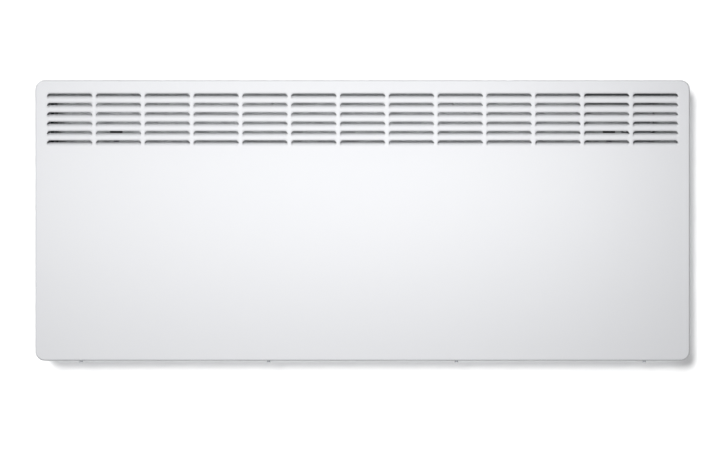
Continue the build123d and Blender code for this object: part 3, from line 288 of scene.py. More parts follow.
def show(tree, shader, pattern, height=None, strength=1.0, gloss=None, tones=None):
    """Shows a 0..1 pattern on the surface: as relief in mm, as a range of roughness, as two colours.

    Most of a noise lies between 0.3 and 0.7, and that part is spread over the whole range of the roughness.
    """
    if height:
        relief = {"Height": pattern, "Strength": strength, "Distance": height * MM}
        add(tree, "ShaderNodeBump", relief, onto=shader.inputs["Normal"])
    if gloss:
        spread = {"Value": pattern, "From Min": 0.3, "From Max": 0.7, "To Min": gloss[0], "To Max": gloss[1]}
        add(tree, "ShaderNodeMapRange", spread, onto=shader.inputs["Roughness"])
    if tones:
        mixed = {0: pattern, 6: tones[0], 7: tones[1]}
        add(tree, "ShaderNodeMix", mixed, onto=shader.inputs["Base Color"], output=2, data_type="RGBA")


def grain(tree, shader, place, size, height, stretch=None, detail=2.0):
    """Fine relief: noise whose cells are size mm, height mm deep, drawn out by the stretch."""
    if stretch:
        place = add(tree, "ShaderNodeMapping", {"Vector": place, "Scale": stretch}).outputs[0]
    noise = add(tree, "ShaderNodeTexNoise", {"Vector": place, "Scale": 1 / (size * MM), "Detail": detail})
    show(tree, shader, noise.outputs[0], height=height)
    return noise.outputs[0]


def shade(colour, factor):
    """A colour made darker or paler."""
    return [min(1.0, part * factor) for part in colour]


def powder_coat(name, colour, orange_peel=1.8, roughness=0.42):
    """Polyester powder coat baked on steel: satin, with a very shallow orange peel."""
    # The peel is about 2 mm across and a few hundredths deep, so reflections break up softly.
    material, tree, shader, place = finish(name, colour, roughness=roughness)
    peel = grain(tree, shader, place, size=orange_peel, height=0.012)
    show(tree, shader, peel, gloss=(roughness - 0.04, roughness + 0.04))
    drift = add(tree, "ShaderNodeTexNoise", {"Vector": place, "Scale": PAINT_DRIFT, "Detail": 1.0}).outputs[0]
    show(tree, shader, drift, tones=(shade(colour, 0.992), shade(colour, 1.006)))
    return material


def galvanised(name, colour, spangle=9.0):
    """Hot-dip galvanised sheet: leaf-like zinc crystals, each with its own tone and gloss."""
    # Skin-passed sheet has spangles of 5 to 12 mm whose edges hardly show.
    material, tree, shader, place = finish(name, colour, metallic=1.0, roughness=0.4)
    waves = {"Vector": place, "Scale": 1 / (spangle * MM * 0.7), "Detail": 2.0}
    warp = add(tree, "ShaderNodeTexNoise", waves).outputs["Color"]
    bend = {0: warp, 1: (0.35 * spangle * MM,) * 3, 2: place}
    bent = add(tree, "ShaderNodeVectorMath", bend, operation="MULTIPLY_ADD").outputs[0]
    crystal = add(tree, "ShaderNodeTexVoronoi", {"Vector": bent, "Scale": 1 / (spangle * MM)})
    own = add(tree, "ShaderNodeSeparateColor", {"Color": crystal.outputs["Color"]}).outputs
    show(tree, shader, own[0], tones=(shade(colour, 0.97), shade(colour, 1.03)))
    show(tree, shader, own[1], gloss=(0.46, 0.54))
    show(tree, shader, own[2], height=0.01, strength=0.5)
    return material


def drawn_metal(name, colour, roughness, along, line=0.5, stains=METAL_STAINS, detail=3.0, tones=None):
    """Rolled, drawn or extruded metal: fine die lines along one axis and a little staining."""
    # Die lines are a few hundredths wide on the real one and drawn at half a millimetre to show.
    material, tree, shader, place = finish(name, colour, metallic=1.0, roughness=roughness)
    stretch = tuple(0.02 if axis == along else 1.0 for axis in "XYZ")
    lines = grain(tree, shader, place, size=line, height=0.006, stretch=stretch)
    show(tree, shader, lines, gloss=(roughness - 0.06, roughness + 0.08))
    stain = add(tree, "ShaderNodeTexNoise", {"Vector": place, "Scale": stains, "Detail": detail}).outputs[0]
    show(tree, shader, stain, tones=tones or (shade(colour, 0.92), shade(colour, 1.08)))
    return material


def heat_tinted_tube():
    """Drawn stainless sheath after firing: straw and blue temper colours along the tube."""
    # The colours change over about a hand's breadth, as the heat did along the tube.
    tints = {"stains": TEMPER_COLOURS, "detail": 2.0, "tones": (sRGB("#6D7283"), sRGB("#A08F70"))}
    return drawn_metal("stainless_heat_tinted", sRGB("#8F8779"), 0.34, "X", line=0.4, **tints)


def moulded(name, colour, roughness=0.5, depth=0.02):
    """Injection-moulded ABS or polyamide from a spark-eroded mould: an even matt grain."""
    # The erosion grain is a few tenths of a millimetre; flow marks give broad, faint tone changes.
    material, tree, shader, place = finish(name, colour, roughness=roughness, ior=1.53)
    pits = grain(tree, shader, place, size=0.45, height=depth, detail=3.0)
    show(tree, shader, pits, gloss=(roughness - 0.07, roughness + 0.07))
    flow = add(tree, "ShaderNodeTexNoise", {"Vector": place, "Scale": FLOW_MARKS, "Detail": 1.0}).outputs[0]
    show(tree, shader, flow, tones=(shade(colour, 0.95), shade(colour, 1.04)))
    return material


def steatite():
    """Pressed and fired steatite: cream, unglazed, with fine dark specks."""
    # Specks of iron are near half a millimetre; the fired skin has a dull sheen.
    cream = sRGB("#E8E2D4")
    material, tree, shader, place = finish("steatite_fired", cream, roughness=0.55, ior=1.6)
    grain(tree, shader, place, size=0.8, height=0.03)
    speck = add(tree, "ShaderNodeTexVoronoi", {"Vector": place, "Scale": 1 / (2.2 * MM)}).outputs[0]
    dots = add(tree, "ShaderNodeMapRange", {"Value": speck, "From Min": 0.08, "From Max": 0.16}).outputs[0]
    show(tree, shader, dots, tones=(sRGB("#9A8F7C"), cream))
    return material


def smoked_acrylic(colour):
    """Cast PMMA with a smoke dye and a polished face: nearly black, with clear reflections."""
    # Polished sheet is smooth to a micron; a faint ripple keeps the reflection from looking drawn.
    optics = {"roughness": 0.06, "ior": 1.49, "transmission_weight": 0.35}
    material, tree, shader, place = finish("acrylic_smoked", colour, **optics)
    grain(tree, shader, place, size=14.0, height=0.01, detail=0.0)
    smear = add(tree, "ShaderNodeTexNoise", {"Vector": place, "Scale": SMEARS, "Detail": 4.0}).outputs[0]
    show(tree, shader, smear, gloss=(0.04, 0.1))
    return material


def glass_epoxy_board():
    """FR4 laminate under green solder varnish: copper tracks show as paler, raised lines."""
    # Tracks are 0.6 mm wide and run square to each other at a pitch of about 5 mm.
    green = sRGB("#1C5A34")
    material, tree, shader, place = finish("fr4_green_varnish", green, roughness=0.3, ior=1.5)
    blocks = {"Vector": place, "Scale": 1 / (5.0 * MM), "Randomness": 0.8}
    block = add(tree, "ShaderNodeTexVoronoi", blocks, feature="F1", distance="CHEBYCHEV").outputs[0]
    rim = {"Value": block, "From Min": 0.42, "From Max": 0.47}
    track = add(tree, "ShaderNodeMapRange", rim, interpolation_type="SMOOTHSTEP").outputs[0]
    show(tree, shader, track, height=0.04, tones=(green, sRGB("#3C8A55")))
    return material


def ribbon_insulation():
    """PVC flat cable: parallel conductors at 1.27 mm stand out as low ribs."""
    # One wave of the pattern stands for one conductor; it is pi / (10 x scale) long.
    material, tree, shader, place = finish("pvc_flat_cable", sRGB("#9A9B9D"), roughness=0.45, ior=1.53)
    ribs = {"Vector": place, "Scale": math.pi / (10 * 1.27 * MM), "Distortion": 0.0}
    wave = add(tree, "ShaderNodeTexWave", ribs, bands_direction="Y", wave_profile="SIN").outputs["Fac"]
    show(tree, shader, wave, height=0.3, tones=(sRGB("#7F8082"), sRGB("#A9AAAC")))
    return material


def silicone(name, colour):
    """Extruded silicone rubber on the cores: soft, slightly waxy, dusty from talc."""
    # The dust lies in patches of a millimetre or so, a little paler and duller than the rubber.
    material, tree, shader, place = finish(name, colour, roughness=0.5, ior=1.41)
    dust = grain(tree, shader, place, size=1.2, height=0.03)
    show(tree, shader, dust, gloss=(0.42, 0.6), tones=(shade(colour, 0.9), shade(colour, 1.08)))
    return material


# ---------------------------------------------------------------- front cover
def louvre_cell(cover):
    """Points of one pitch of the louvred field, drawn round the middle of the slot's lower edge.

    Both edges of the slot end in quarter ellipses over the corner's length: the upper one falls from the
    louvre's top by the hook, and the lip from under the mouth to the same point. Below the lip the sheet
    leaves the face as the square of the height, so it is flush at its foot and steepest at the lip, and
    sideways that depth fades by smoothstep over the scoop's end.
    """
    half, height, corner = cover["louvre_width"] / 2, cover["louvre_height"], cover["corner"]
    turn = np.radians([0, 15, 30, 42, 54, 66, 78, 90])
    x = np.concatenate([half - corner + corner * np.sin(turn), [cover["pitch_x"] / 2]])
    fall = np.append(np.cos(turn), 0.0)
    x, fall = np.concatenate([-x[::-1], x]), np.concatenate([fall[::-1], fall])
    top = height - cover["hook"] * (1 - fall)
    lip = height - cover["hook"] + (cover["hook"] - cover["mouth"]) * fall
    fade = np.clip((half - np.abs(x)) / cover["scoop_end"], 0, 1)
    depth = cover["scoop_depth"] * fade * fade * (3 - 2 * fade)
    climb = np.array([0.0, 0.1, 0.25, 0.4, 0.55, 0.7, 0.82, 0.92, 1.0])[:, None]
    scoop = np.stack(np.broadcast_arrays(x, depth * climb**2, lip * climb), -1)
    foot = (height - cover["pitch_z"]) / 2
    flat = np.zeros_like(x)
    below = np.stack([x, flat, flat + foot], -1)
    head = np.stack([x, flat, flat + foot + cover["pitch_z"]], -1)
    above = np.stack([np.stack([x, flat, top], -1), head])
    return x, np.concatenate([below[None], scoop]), above


def louvre_field(cover):
    """The cell repeated at every pitch, and the places of the columns and rows along the field's edges."""
    x, lower, upper = louvre_cell(cover)
    columns = (np.arange(cover["columns"]) - (cover["columns"] - 1) / 2) * cover["pitch_x"]
    first = COVER_HIGH[2] - cover["top_margin"] - cover["louvre_height"]
    rows = first - np.arange(cover["rows"]) * cover["pitch_z"]
    parts = []
    for patch in (lower, upper):
        shifts = np.stack(
            np.broadcast_arrays(columns[:, None], COVER_LOW[1], rows[None, :]), -1
        ).reshape(-1, 1, 1, 3)
        points = (patch[None] + shifts).reshape(-1, 3)
        quads = grid_faces(*patch.shape[:2])
        many = np.arange(len(shifts))[:, None, None] * patch.shape[0] * patch.shape[1]
        parts.append((points, (quads[None] + many).reshape(-1, 4)))
    along = np.unique(np.round((columns[:, None] + x[None]).ravel(), 4))
    heights = np.concatenate([lower[:, 0, 2], upper[:, 0, 2]])
    up = np.unique(np.round((rows[:, None] + heights[None]).ravel(), 4))
    return parts, along, up


def cover_shell(cover, along, up):
    """The plain face below the louvres and the rim round it.

    The rim is one profile carried along the rounded outline: flat face, quarter round, then flange.
    Each of its stations joins the nearest point on the edge of the inner rectangle.
    """
    wide, high = COVER_HIGH[0], COVER_HIGH[2]
    corner, edge = cover["outer_corner"], cover["edge"]
    front, back = COVER_LOW[1], COVER_HIGH[1]
    fascia_low, fascia_high = (np.array(limit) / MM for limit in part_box("control_fascia"))
    notch = (fascia_low[0] - cover["gap"], fascia_high[0] + cover["gap"])
    notch_y = fascia_low[1] - cover["gap"]
    flat_x = wide - corner - cover["gap"]
    strip = 1.0  # flat on both sides of the round edge
    inner_x, inner_top, inner_foot = along[-1], up[-1], -high + corner + 3 * strip
    foots = np.linspace(inner_foot, up[0], 5)
    plain = np.stack(np.broadcast_arrays(along[None, :], front, foots[:, None]), -1)
    parts = [(plain.reshape(-1, 3), grid_faces(*plain.shape[:2]))]

    sides = np.unique(np.concatenate([foots, up]))
    top_x = np.unique(np.concatenate([along, notch]))
    turn = np.linspace(0, math.pi / 2, 9)
    straight_x, straight_z = wide - corner, high - corner

    def loop(inset):
        """The outline drawn in by the inset, clockwise from the top left, and its inner partners."""
        outer, inner = [], []
        radius = corner - inset
        for side in range(4):
            across = side % 2 == 0
            sign = 1 if side in (0, 1) else -1
            if side == 0:
                stations = top_x
            elif side == 1:
                stations = sides[::-1]
            elif side == 2:
                stations = np.unique(np.concatenate([along, [-flat_x, flat_x]]))[::-1]
            else:
                stations = sides
            known = along if across else sides
            near = known[np.abs(known[None, :] - stations[:, None]).argmin(1)]
            fixed_outer = sign * ((high if across else wide) - inset)
            if across:
                fixed_inner = inner_top if side == 0 else inner_foot
                outer.append(np.stack([stations, np.full_like(stations, fixed_outer)], -1))
                inner.append(np.stack([near, np.full_like(near, fixed_inner)], -1))
            else:
                fixed_inner = sign * inner_x
                outer.append(np.stack([np.full_like(stations, fixed_outer), stations], -1))
                inner.append(np.stack([np.full_like(near, fixed_inner), near], -1))
            centre = ((1, 1), (1, -1), (-1, -1), (-1, 1))[side]
            angle = math.pi / 2 * (1 - side) - turn
            arc = np.stack([radius * np.cos(angle), radius * np.sin(angle)], -1)
            outer.append(arc + [centre[0] * straight_x, centre[1] * straight_z])
            corner_point = (centre[0] * inner_x, inner_top if centre[1] > 0 else inner_foot)
            inner.append(np.tile(corner_point, (len(turn), 1)))
        return np.concatenate(outer), np.concatenate(inner)

    sweep = np.linspace(0, math.pi / 2, 8)
    profile = [(edge + strip, 0.0)] + [(edge * (1 - math.sin(a)), edge * (1 - math.cos(a))) for a in sweep]
    depths = (edge + strip, notch_y - front, cover["bottom_flange"], back - front)
    profile += [(0.0, depth) for depth in depths]
    levels = [np.insert(loop(0.0)[1], 1, front, axis=1)]
    levels += [np.insert(loop(inset)[0], 1, front + depth, axis=1) for inset, depth in profile]
    ring = np.stack(levels)
    quads = grid_faces(*ring.shape[:2], closed=True)
    ring = ring.reshape(-1, 3)
    middle = ring[quads].mean(1)
    on_top = (middle[:, 2] > high - 0.01) & (middle[:, 0] > notch[0]) & (middle[:, 0] < notch[1])
    on_foot = (middle[:, 2] < -high + 0.01) & (np.abs(middle[:, 0]) < flat_x)
    gone = on_top & (middle[:, 1] > notch_y) | on_foot & (middle[:, 1] > front + cover["bottom_flange"])
    parts.append((ring, quads[~gone]))
    return parts


class HEATER_OT_cover(bpy.types.Operator):
    """Press, fold and paint the louvred front cover"""

    bl_idname = "heater.cover"
    bl_label = "Front cover"

    def execute(self, context):
        cover = settings_mm(context.scene.heater_cover)
        field, along, up = louvre_field(cover)
        parts = field + cover_shell(cover, along, up)
        outward = ((0.0, COVER_LOW[1], -COVER_HIGH[2] / 2), (0.0, -1.0, 0.0))
        mesh = make_mesh("cover_sheet", parts, smooth=40.0, outward=outward)
        paint = powder_coat("powder_coat_white", cover["paint"][:])
        piece = make_piece("cover_sheet", mesh, "heater", [paint], ["front_cover"])
        wall = piece.modifiers.new("sheet", "SOLIDIFY")
        wall.thickness = cover["sheet"] * MM
        wall.offset = -1.0
        wall.use_even_offset = True
        dress(paint, "bottom_grille")
        return {"FINISHED"}


# ---------------------------------------------------------------- sheet metal inside and behind
class HEATER_OT_sheets(bpy.types.Operator):
    """Finish the back panel, the air duct and their fixings"""

    bl_idname = "heater.sheets"
    bl_label = "Sheet metal and fixings"

    def execute(self, context):
        zinc = context.scene.heater_finish.zinc[:]
        dress(galvanised("galvanised_panel", zinc, spangle=11.0), "back_panel")
        dress(
            galvanised("galvanised_sheet", shade(zinc, 0.94), spangle=7.0),
            "compartment_wall",
            "heat_shield",
            "middle_support",
        )
        # The duct cheeks get a darker zinc than the other sheets. This is painted shade: it stands for the
        # dark ends of the outer louvres and dims the reflection on the cheeks' front edges.
        dress(galvanised("zinc_black_passivated", sRGB("#505356"), spangle=7.0), "duct_cheek")
        bright = context.scene.heater_finish.aluminium[:]
        dress(drawn_metal("aluminium_bright_rolled", shade(bright, 1.25), 0.2, "X"), "reflector")
        dress(drawn_metal("spring_steel_hardened", sRGB("#7C7E82"), 0.3, "X"), "cover_clips")
        plated = drawn_metal("steel_zinc_plated", sRGB("#A8ABAE"), 0.38, "Z", line=0.3)
        dress(plated, "cover_screws", "clip_nuts")
        dress(drawn_metal("rivets_aluminium", sRGB("#B9BBBD"), 0.32, "Y", line=0.3), "chassis_rivets")
        return {"FINISHED"}


class HEATER_OT_elements(bpy.types.Operator):
    """Finish the heating elements, their ceramics and the overheat cut-out"""

    bl_idname = "heater.elements"
    bl_label = "Heating elements"

    def execute(self, context):
        metal = context.scene.heater_finish.aluminium[:]
        dress(drawn_metal("aluminium_extruded", shade(metal, 0.85), 0.42, "X"), "lower_fins", "upper_fins")
        dress(heat_tinted_tube(), "lower_rod", "upper_rod")
        dress(steatite(), "element_bushes")
        brass = drawn_metal("brass_tinned_blades", sRGB("#C2A05A"), 0.28, "X", line=0.3)
        dress(brass, "element_blades", "earth_stud")
        dress(moulded("phenolic_cutout", sRGB("#2B2320"), 0.42), "thermal_cutout")
        return {"FINISHED"}


# ---------------------------------------------------------------- control panel
# Down the round top edge of a cap: inset, how much less the corner's radius is, and drop, in mm.
CAP_EDGE = [(0.0, 0.0, 0.45), (0.12, 0.05, 0.18), (0.35, 0.2, 0.03), (0.6, 0.4, 0.0)]
BOWL_RINGS = (0.85, 0.65, 0.4, 0.2, 0.0)  # how wide each ring of a cap's dish is, as a share of its edge
SUNK = 0.1  # how far a sign reaches into the surface under it
SIGN_STEP = 0.03  # each further bar of a sign stands up by this much more, so no two tops coincide


def key_cap(node, key):
    """One key, and the middle of its dish: a stem, the rim that stops the key, and a cap with a dished top.

    Every level is a rectangle with round corners (half width, half depth, corner radius and height), from
    the foot of the stem to the top. There the surface runs in to the middle as a shallow parabolic bowl.
    """
    low, high = (np.array(limit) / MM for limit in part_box(node))
    centre = (low + high) / 2
    stem, corner, top = key["stem"], key["corner"], high[2]
    half_rim, half_rim_depth = (high[:2] - low[:2]) / 2
    half, half_depth = half_rim - key["rim"], half_rim_depth - key["rim"]
    rim_top = top - key["cap_height"]
    rim_low = rim_top - key["rim_height"]
    turned = stem - 0.01  # the stem is round, and this keeps the points of its quarters apart
    levels = [
        (0.0, 0.0, 0.0, low[2]),
        (stem, stem, turned, low[2]),
        (stem, stem, turned, rim_low),
        (half_rim, half_rim_depth, corner, rim_low),
        (half_rim, half_rim_depth, corner, rim_top),
        (half, half_depth, corner, rim_top),
    ]
    for inset, less, drop in CAP_EDGE:
        levels.append((half - inset, half_depth - inset, corner - less, top - drop))
    rings = [np.insert(rounded_outline(w, d, r), 2, z, axis=1) + [*centre[:2], 0.0] for w, d, r, z in levels]
    for scale in BOWL_RINGS:
        ring = rings[len(levels) - 1].copy()
        ring[:, :2] = (ring[:, :2] - centre[:2]) * scale + centre[:2]
        ring[:, 2] = top - key["dish"] * (1 - scale**2)
        rings.append(ring)
    ring = np.stack(rings)
    return (ring.reshape(-1, 3), grid_faces(*ring.shape[:2], closed=True)), [*centre[:2], top - key["dish"]]


def bar(centre, size, top):
    """A raised bar with rounded plan: its outline carried up, drawn in a little at the top, and closed."""
    outline = rounded_outline(size[0] / 2, size[1] / 2, min(size) * 0.35, steps=2)
    levels = [(0.0, -SUNK), (1.0, -SUNK), (1.0, 0.7 * top), (0.94, top), (0.0, top)]
    ring = np.stack([np.insert(outline * scale, 2, z, axis=1) + centre for scale, z in levels])
    return ring.reshape(-1, 3), grid_faces(*ring.shape[:2], closed=True)


KEY_SIGNS = {  # the bars of each sign: place of the middle, then size, in mm
    "button_menu": [((0, -1.5), (5, 0.7)), ((0, 0), (5, 0.7)), ((0, 1.5), (5, 0.7))],
    "button_minus": [((0, 0), (4.4, 0.9))],
    "button_plus": [((0, 0), (4.4, 0.9)), ((0, 0), (0.9, 4.4))],
    "button_ok": [((0, 0), (2.2, 2.2))],
}


class HEATER_OT_controls(bpy.types.Operator):
    """Shape the keys and finish the control panel and what is under it"""

    bl_idname = "heater.controls"
    bl_label = "Control panel"

    def execute(self, context):
        colours = context.scene.heater_finish
        dress(moulded("abs_white_textured", colours.moulding[:], 0.48), "control_fascia")
        dress(smoked_acrylic(colours.window[:]), "display_window")
        dress(moulded("abs_grey_housing", sRGB("#6F7275"), 0.55), "control_housing")
        dress(glass_epoxy_board(), "control_board", "power_board")
        dress(moulded("display_glass_bezel", sRGB("#15181A"), 0.2, depth=0.004), "display_module")
        dress(moulded("switch_body_black", sRGB("#1D1D1F"), 0.45), "tact_switches")
        caps = moulded("abs_key_soft_touch", colours.key[:], 0.55, depth=0.012)
        sign_ink = moulded("key_sign_grey", sRGB("#6B7076"), 0.5, depth=0.006)
        key = settings_mm(context.scene.heater_keys)
        for node, signs in KEY_SIGNS.items():
            cap, (x, y, z) = key_cap(node, key)
            mesh = make_mesh(node + "_cap", [cap])
            make_piece(node + "_cap", mesh, node, [caps], [node])
            bars = [
                bar([x + right, y + back, z], size, key["sign"] + SIGN_STEP * place)
                for place, ((right, back), size) in enumerate(signs)
            ]
            mesh = make_mesh(node + "_sign", bars)
            make_piece(node + "_sign", mesh, node, [sign_ink])
        return {"FINISHED"}


# ---------------------------------------------------------------- power side
LEAD_ROUTES = {  # where each lead runs, in metres: the same points as the fixed model's wires have
    "element_leads": [
        [(0.456, -0.0526, -0.020), (0.456, -0.0526, -0.040), (0.451, -0.0576, -0.100),
         (0.4108, -0.0601, -0.151), (0.3928, -0.0586, -0.164), (0.3808, -0.0586, -0.164)],
        [(0.450, -0.0566, -0.020), (0.450, -0.0566, -0.040), (0.445, -0.0556, -0.096),
         (0.4108, -0.0571, -0.145), (0.3928, -0.0586, -0.156), (0.3808, -0.0586, -0.156)],
        [(0.444, -0.0606, -0.020), (0.444, -0.0606, -0.040), (0.439, -0.0616, -0.0675),
         (0.4108, -0.0601, -0.086), (0.3928, -0.0586, -0.099), (0.3808, -0.0586, -0.099)],
        [(0.438, -0.0646, -0.020), (0.438, -0.0646, -0.040), (0.433, -0.0596, -0.0635),
         (0.4108, -0.0571, -0.080), (0.3928, -0.0586, -0.091), (0.3808, -0.0586, -0.091)],
    ],
    "supply_leads": [
        [(0.4722, -0.0351, -0.185), (0.4722, -0.0468, -0.183), (0.44887, -0.0428, -0.159),
         (0.42833, -0.0328, -0.138), (0.42833, -0.0328, -0.112)],
        [(0.475, -0.0351, -0.185), (0.475, -0.0468, -0.183), (0.460, -0.0428, -0.159),
         (0.445, -0.0328, -0.138), (0.445, -0.0328, -0.112)],
        [(0.4778, -0.0351, -0.185), (0.4778, -0.0468, -0.183), (0.47113, -0.0428, -0.159),
         (0.46167, -0.0328, -0.138), (0.46167, -0.0328, -0.112)],
    ],
    "switch_leads": [
        [(0.445, -0.0328, -0.106), (0.445, -0.0328, -0.080), (0.465, -0.0338, -0.071),
         (0.483, -0.0338, -0.080), (0.486, -0.0339, -0.1225), (0.484, -0.035, -0.130),
         (0.486, -0.035, -0.145), (0.497, -0.035, -0.145)],
        [(0.46167, -0.0328, -0.106), (0.46167, -0.0328, -0.088), (0.46933, -0.0338, -0.079),
         (0.475, -0.0338, -0.088), (0.478, -0.0339, -0.1275), (0.476, -0.035, -0.140),
         (0.478, -0.035, -0.155), (0.497, -0.035, -0.155)],
    ],
}
LEAD_COLOURS = {
    "element_leads": ["#3A3A3C"] * 4,
    "supply_leads": ["#6B3F26", "#2C5C9A", "#8FA23A"],
    "switch_leads": ["#6B3F26", "#2C5C9A"],
}
LEAD_RADIUS = 1.3  # half the thickness of a lead over its rubber
ROCKER_SIGN = 0.15  # how far the rocker's signs stand up


def leads(name):
    """Round leads along smooth lines whose control points are the route's points."""
    curve = bpy.data.curves.new(name, "CURVE")
    curve.dimensions = "3D"
    curve.bevel_depth = LEAD_RADIUS * MM
    curve.bevel_resolution = 4
    curve.resolution_u = 8
    curve.use_fill_caps = True
    for index, route in enumerate(LEAD_ROUTES[name]):
        spline = curve.splines.new("NURBS")
        spline.points.add(len(route) - 1)
        spline.points.foreach_set("co", np.insert(np.array(route), 3, 1.0, axis=1).ravel())
        spline.order_u = 3
        spline.use_endpoint_u = True
        spline.material_index = index
    return curve


def low_ring(radius, width, top):
    """A flat raised ring: a square section, from under the surface to the top, carried round a circle."""
    around = np.linspace(0.0, 2 * math.pi, 33)[:-1]
    inner, outer = radius - width / 2, radius + width / 2
    section = np.array([(inner, -SUNK), (outer, -SUNK), (outer, top), (inner, top), (inner, -SUNK)])
    reach, height = section.T[:, :, None]
    points = np.stack(np.broadcast_arrays(reach * np.cos(around), reach * np.sin(around), height), -1)
    return points.reshape(-1, 3), grid_faces(*points.shape[:2], closed=True)


def on_rocker(points, up):
    """Lays flat points on the rocker: up its face from the middle, then turned with it about its pins.

    Each half of the face rises from the dip at the middle by the same slope.
    """
    joint = next(joint for joint in frame["joints"] if joint["name"] == "power_rocker_tilt")
    dip, slope, tilt = 2.0, 0.137, math.radians(8.0)
    across, along, height = points.T
    along = along + up
    out = dip + slope * np.abs(along) + height
    cos, sin = math.cos(tilt), math.sin(tilt)
    turned = np.stack([out * cos + along * sin, across, along * cos - out * sin], -1)
    return turned + np.array(joint["pos_m"]) / MM


class HEATER_OT_power(bpy.types.Operator):
    """Lay the leads and finish the power housing, the switch, the gland and the sensor"""

    bl_idname = "heater.power"
    bl_label = "Power side"

    def execute(self, context):
        for name, codes in LEAD_COLOURS.items():
            materials = [silicone(f"silicone_{name}_{place}", sRGB(code)) for place, code in enumerate(codes)]
            make_piece(name + "_smooth", leads(name), "heater", materials, [name])
        dress(moulded("abs_grey_power_box", sRGB("#7B7E81"), 0.55), "power_housing", "power_lid")
        dress(moulded("pbt_relay_blue", sRGB("#27508F"), 0.3, depth=0.006), "relays")
        dress(moulded("polyamide_terminal_grey", sRGB("#8C8F92"), 0.5), "terminal_block")
        dress(ribbon_insulation(), "ribbon_cable")
        black = moulded("polyamide_black", sRGB("#1B1B1D"), 0.46)
        dress(black, "rocker_switch", "cable_gland", "room_sensor")
        dress(moulded("polycarbonate_rocker", sRGB("#222224"), 0.24, depth=0.004), "power_rocker")
        line = bar(np.zeros(3), size=(0.8, 3.2), top=ROCKER_SIGN)
        ring = low_ring(radius=1.35, width=0.7, top=ROCKER_SIGN)
        parts = [(on_rocker(points, up), quads) for (points, quads), up in ((line, 4.0), (ring, -4.0))]
        mesh = make_mesh("power_rocker_sign", parts)
        ink = moulded("rocker_sign_white", sRGB("#E4E5E6"), 0.5, depth=0.004)
        make_piece("power_rocker_sign", mesh, "power_rocker", [ink])
        return {"FINISHED"}


# ---------------------------------------------------------------- wall bracket and latches
class HEATER_OT_bracket(bpy.types.Operator):
    """Finish the wall bracket and the latches that hold the heater on it"""

    bl_idname = "heater.bracket"
    bl_label = "Wall bracket"

    def execute(self, context):
        colour = context.scene.heater_finish.bracket[:]
        paint = powder_coat("powder_coat_grey", colour, orange_peel=1.4, roughness=0.5)
        dress(paint, "upright_left", "upright_right", "rail_top", "rail_bottom")
        dress(drawn_metal("rivets_steel", sRGB("#9A9C9F"), 0.35, "Y", line=0.3), "bracket_rivets")
        dress(moulded("polyamide_latch", sRGB("#242527"), 0.48), "latch_left", "latch_right")
        return {"FINISHED"}


# ---------------------------------------------------------------- stage
WHITE_SUN = math.pi  # a sun this strong lights white paint that faces it to white
WHITE_BOX = 10.0  # watts of the soft box at a share of one
ORIGIN = (0.0, 0.0, 0.0)
BEHIND = 0.6 * MM  # how far the wall stands behind the bracket, so their faces don't coincide


def lamp(name, kind, energy, place, aim=ORIGIN, **settings):
    """A lamp that the camera doesn't see, turned from its place to what it aims at."""
    light = bpy.data.lights.new(name, kind)
    light.energy = energy
    for key, value in settings.items():
        setattr(light, key, value)
    piece = bpy.data.objects.new(name, light)
    piece.location = place
    piece.rotation_euler = (Vector(aim) - Vector(place)).to_track_quat("-Z", "Y").to_euler()
    piece.visible_camera = False
    bpy.context.scene.collection.objects.link(piece)
    return piece


def seen_directly(tree):
    """One for a ray that carries what the eye, a mirror or a pane sees, and nought for one that lights."""
    ray = add(tree, "ShaderNodeLightPath").outputs
    seen = ray["Is Camera Ray"]
    for kind in ("Is Glossy Ray", "Is Transmission Ray"):
        seen = add(tree, "ShaderNodeMath", {0: seen, 1: ray[kind]}, operation="MAXIMUM").outputs[0]
    return seen


def stage_sheet(name, corners, white, glow):
    """A matt white sheet seen from its front alone, which takes shadows and reads as white.

    The sheet is the plane through four corners; its back lets everything pass. White above one makes up
    for the low lamps, and the glow shows to the eye and in gloss but lights nothing.
    """
    mesh = bpy.data.meshes.new(name)
    mesh.from_pydata(corners, [], [(0, 1, 2, 3)])
    sheet = bpy.data.objects.new(name, mesh)
    bpy.context.scene.collection.objects.link(sheet)
    material = bpy.data.materials.new(name + "_matt_white")
    material.use_nodes = True
    tree = material.node_tree
    tree.nodes.clear()
    matt = add(tree, "ShaderNodeBsdfDiffuse", {"Color": (white, white, white)})
    level = add(tree, "ShaderNodeMath", {0: seen_directly(tree), 1: glow}, operation="MULTIPLY")
    light = add(tree, "ShaderNodeEmission", {"Strength": level.outputs[0]})
    both = add(tree, "ShaderNodeAddShader", {0: matt.outputs[0], 1: light.outputs[0]})
    back = add(tree, "ShaderNodeNewGeometry").outputs["Backfacing"]
    clear = add(tree, "ShaderNodeBsdfTransparent")
    seen = add(tree, "ShaderNodeMixShader", {0: back, 1: both.outputs[0], 2: clear.outputs[0]})
    add(tree, "ShaderNodeOutputMaterial", {"Surface": seen.outputs[0]})
    mesh.materials.append(material)
    return sheet


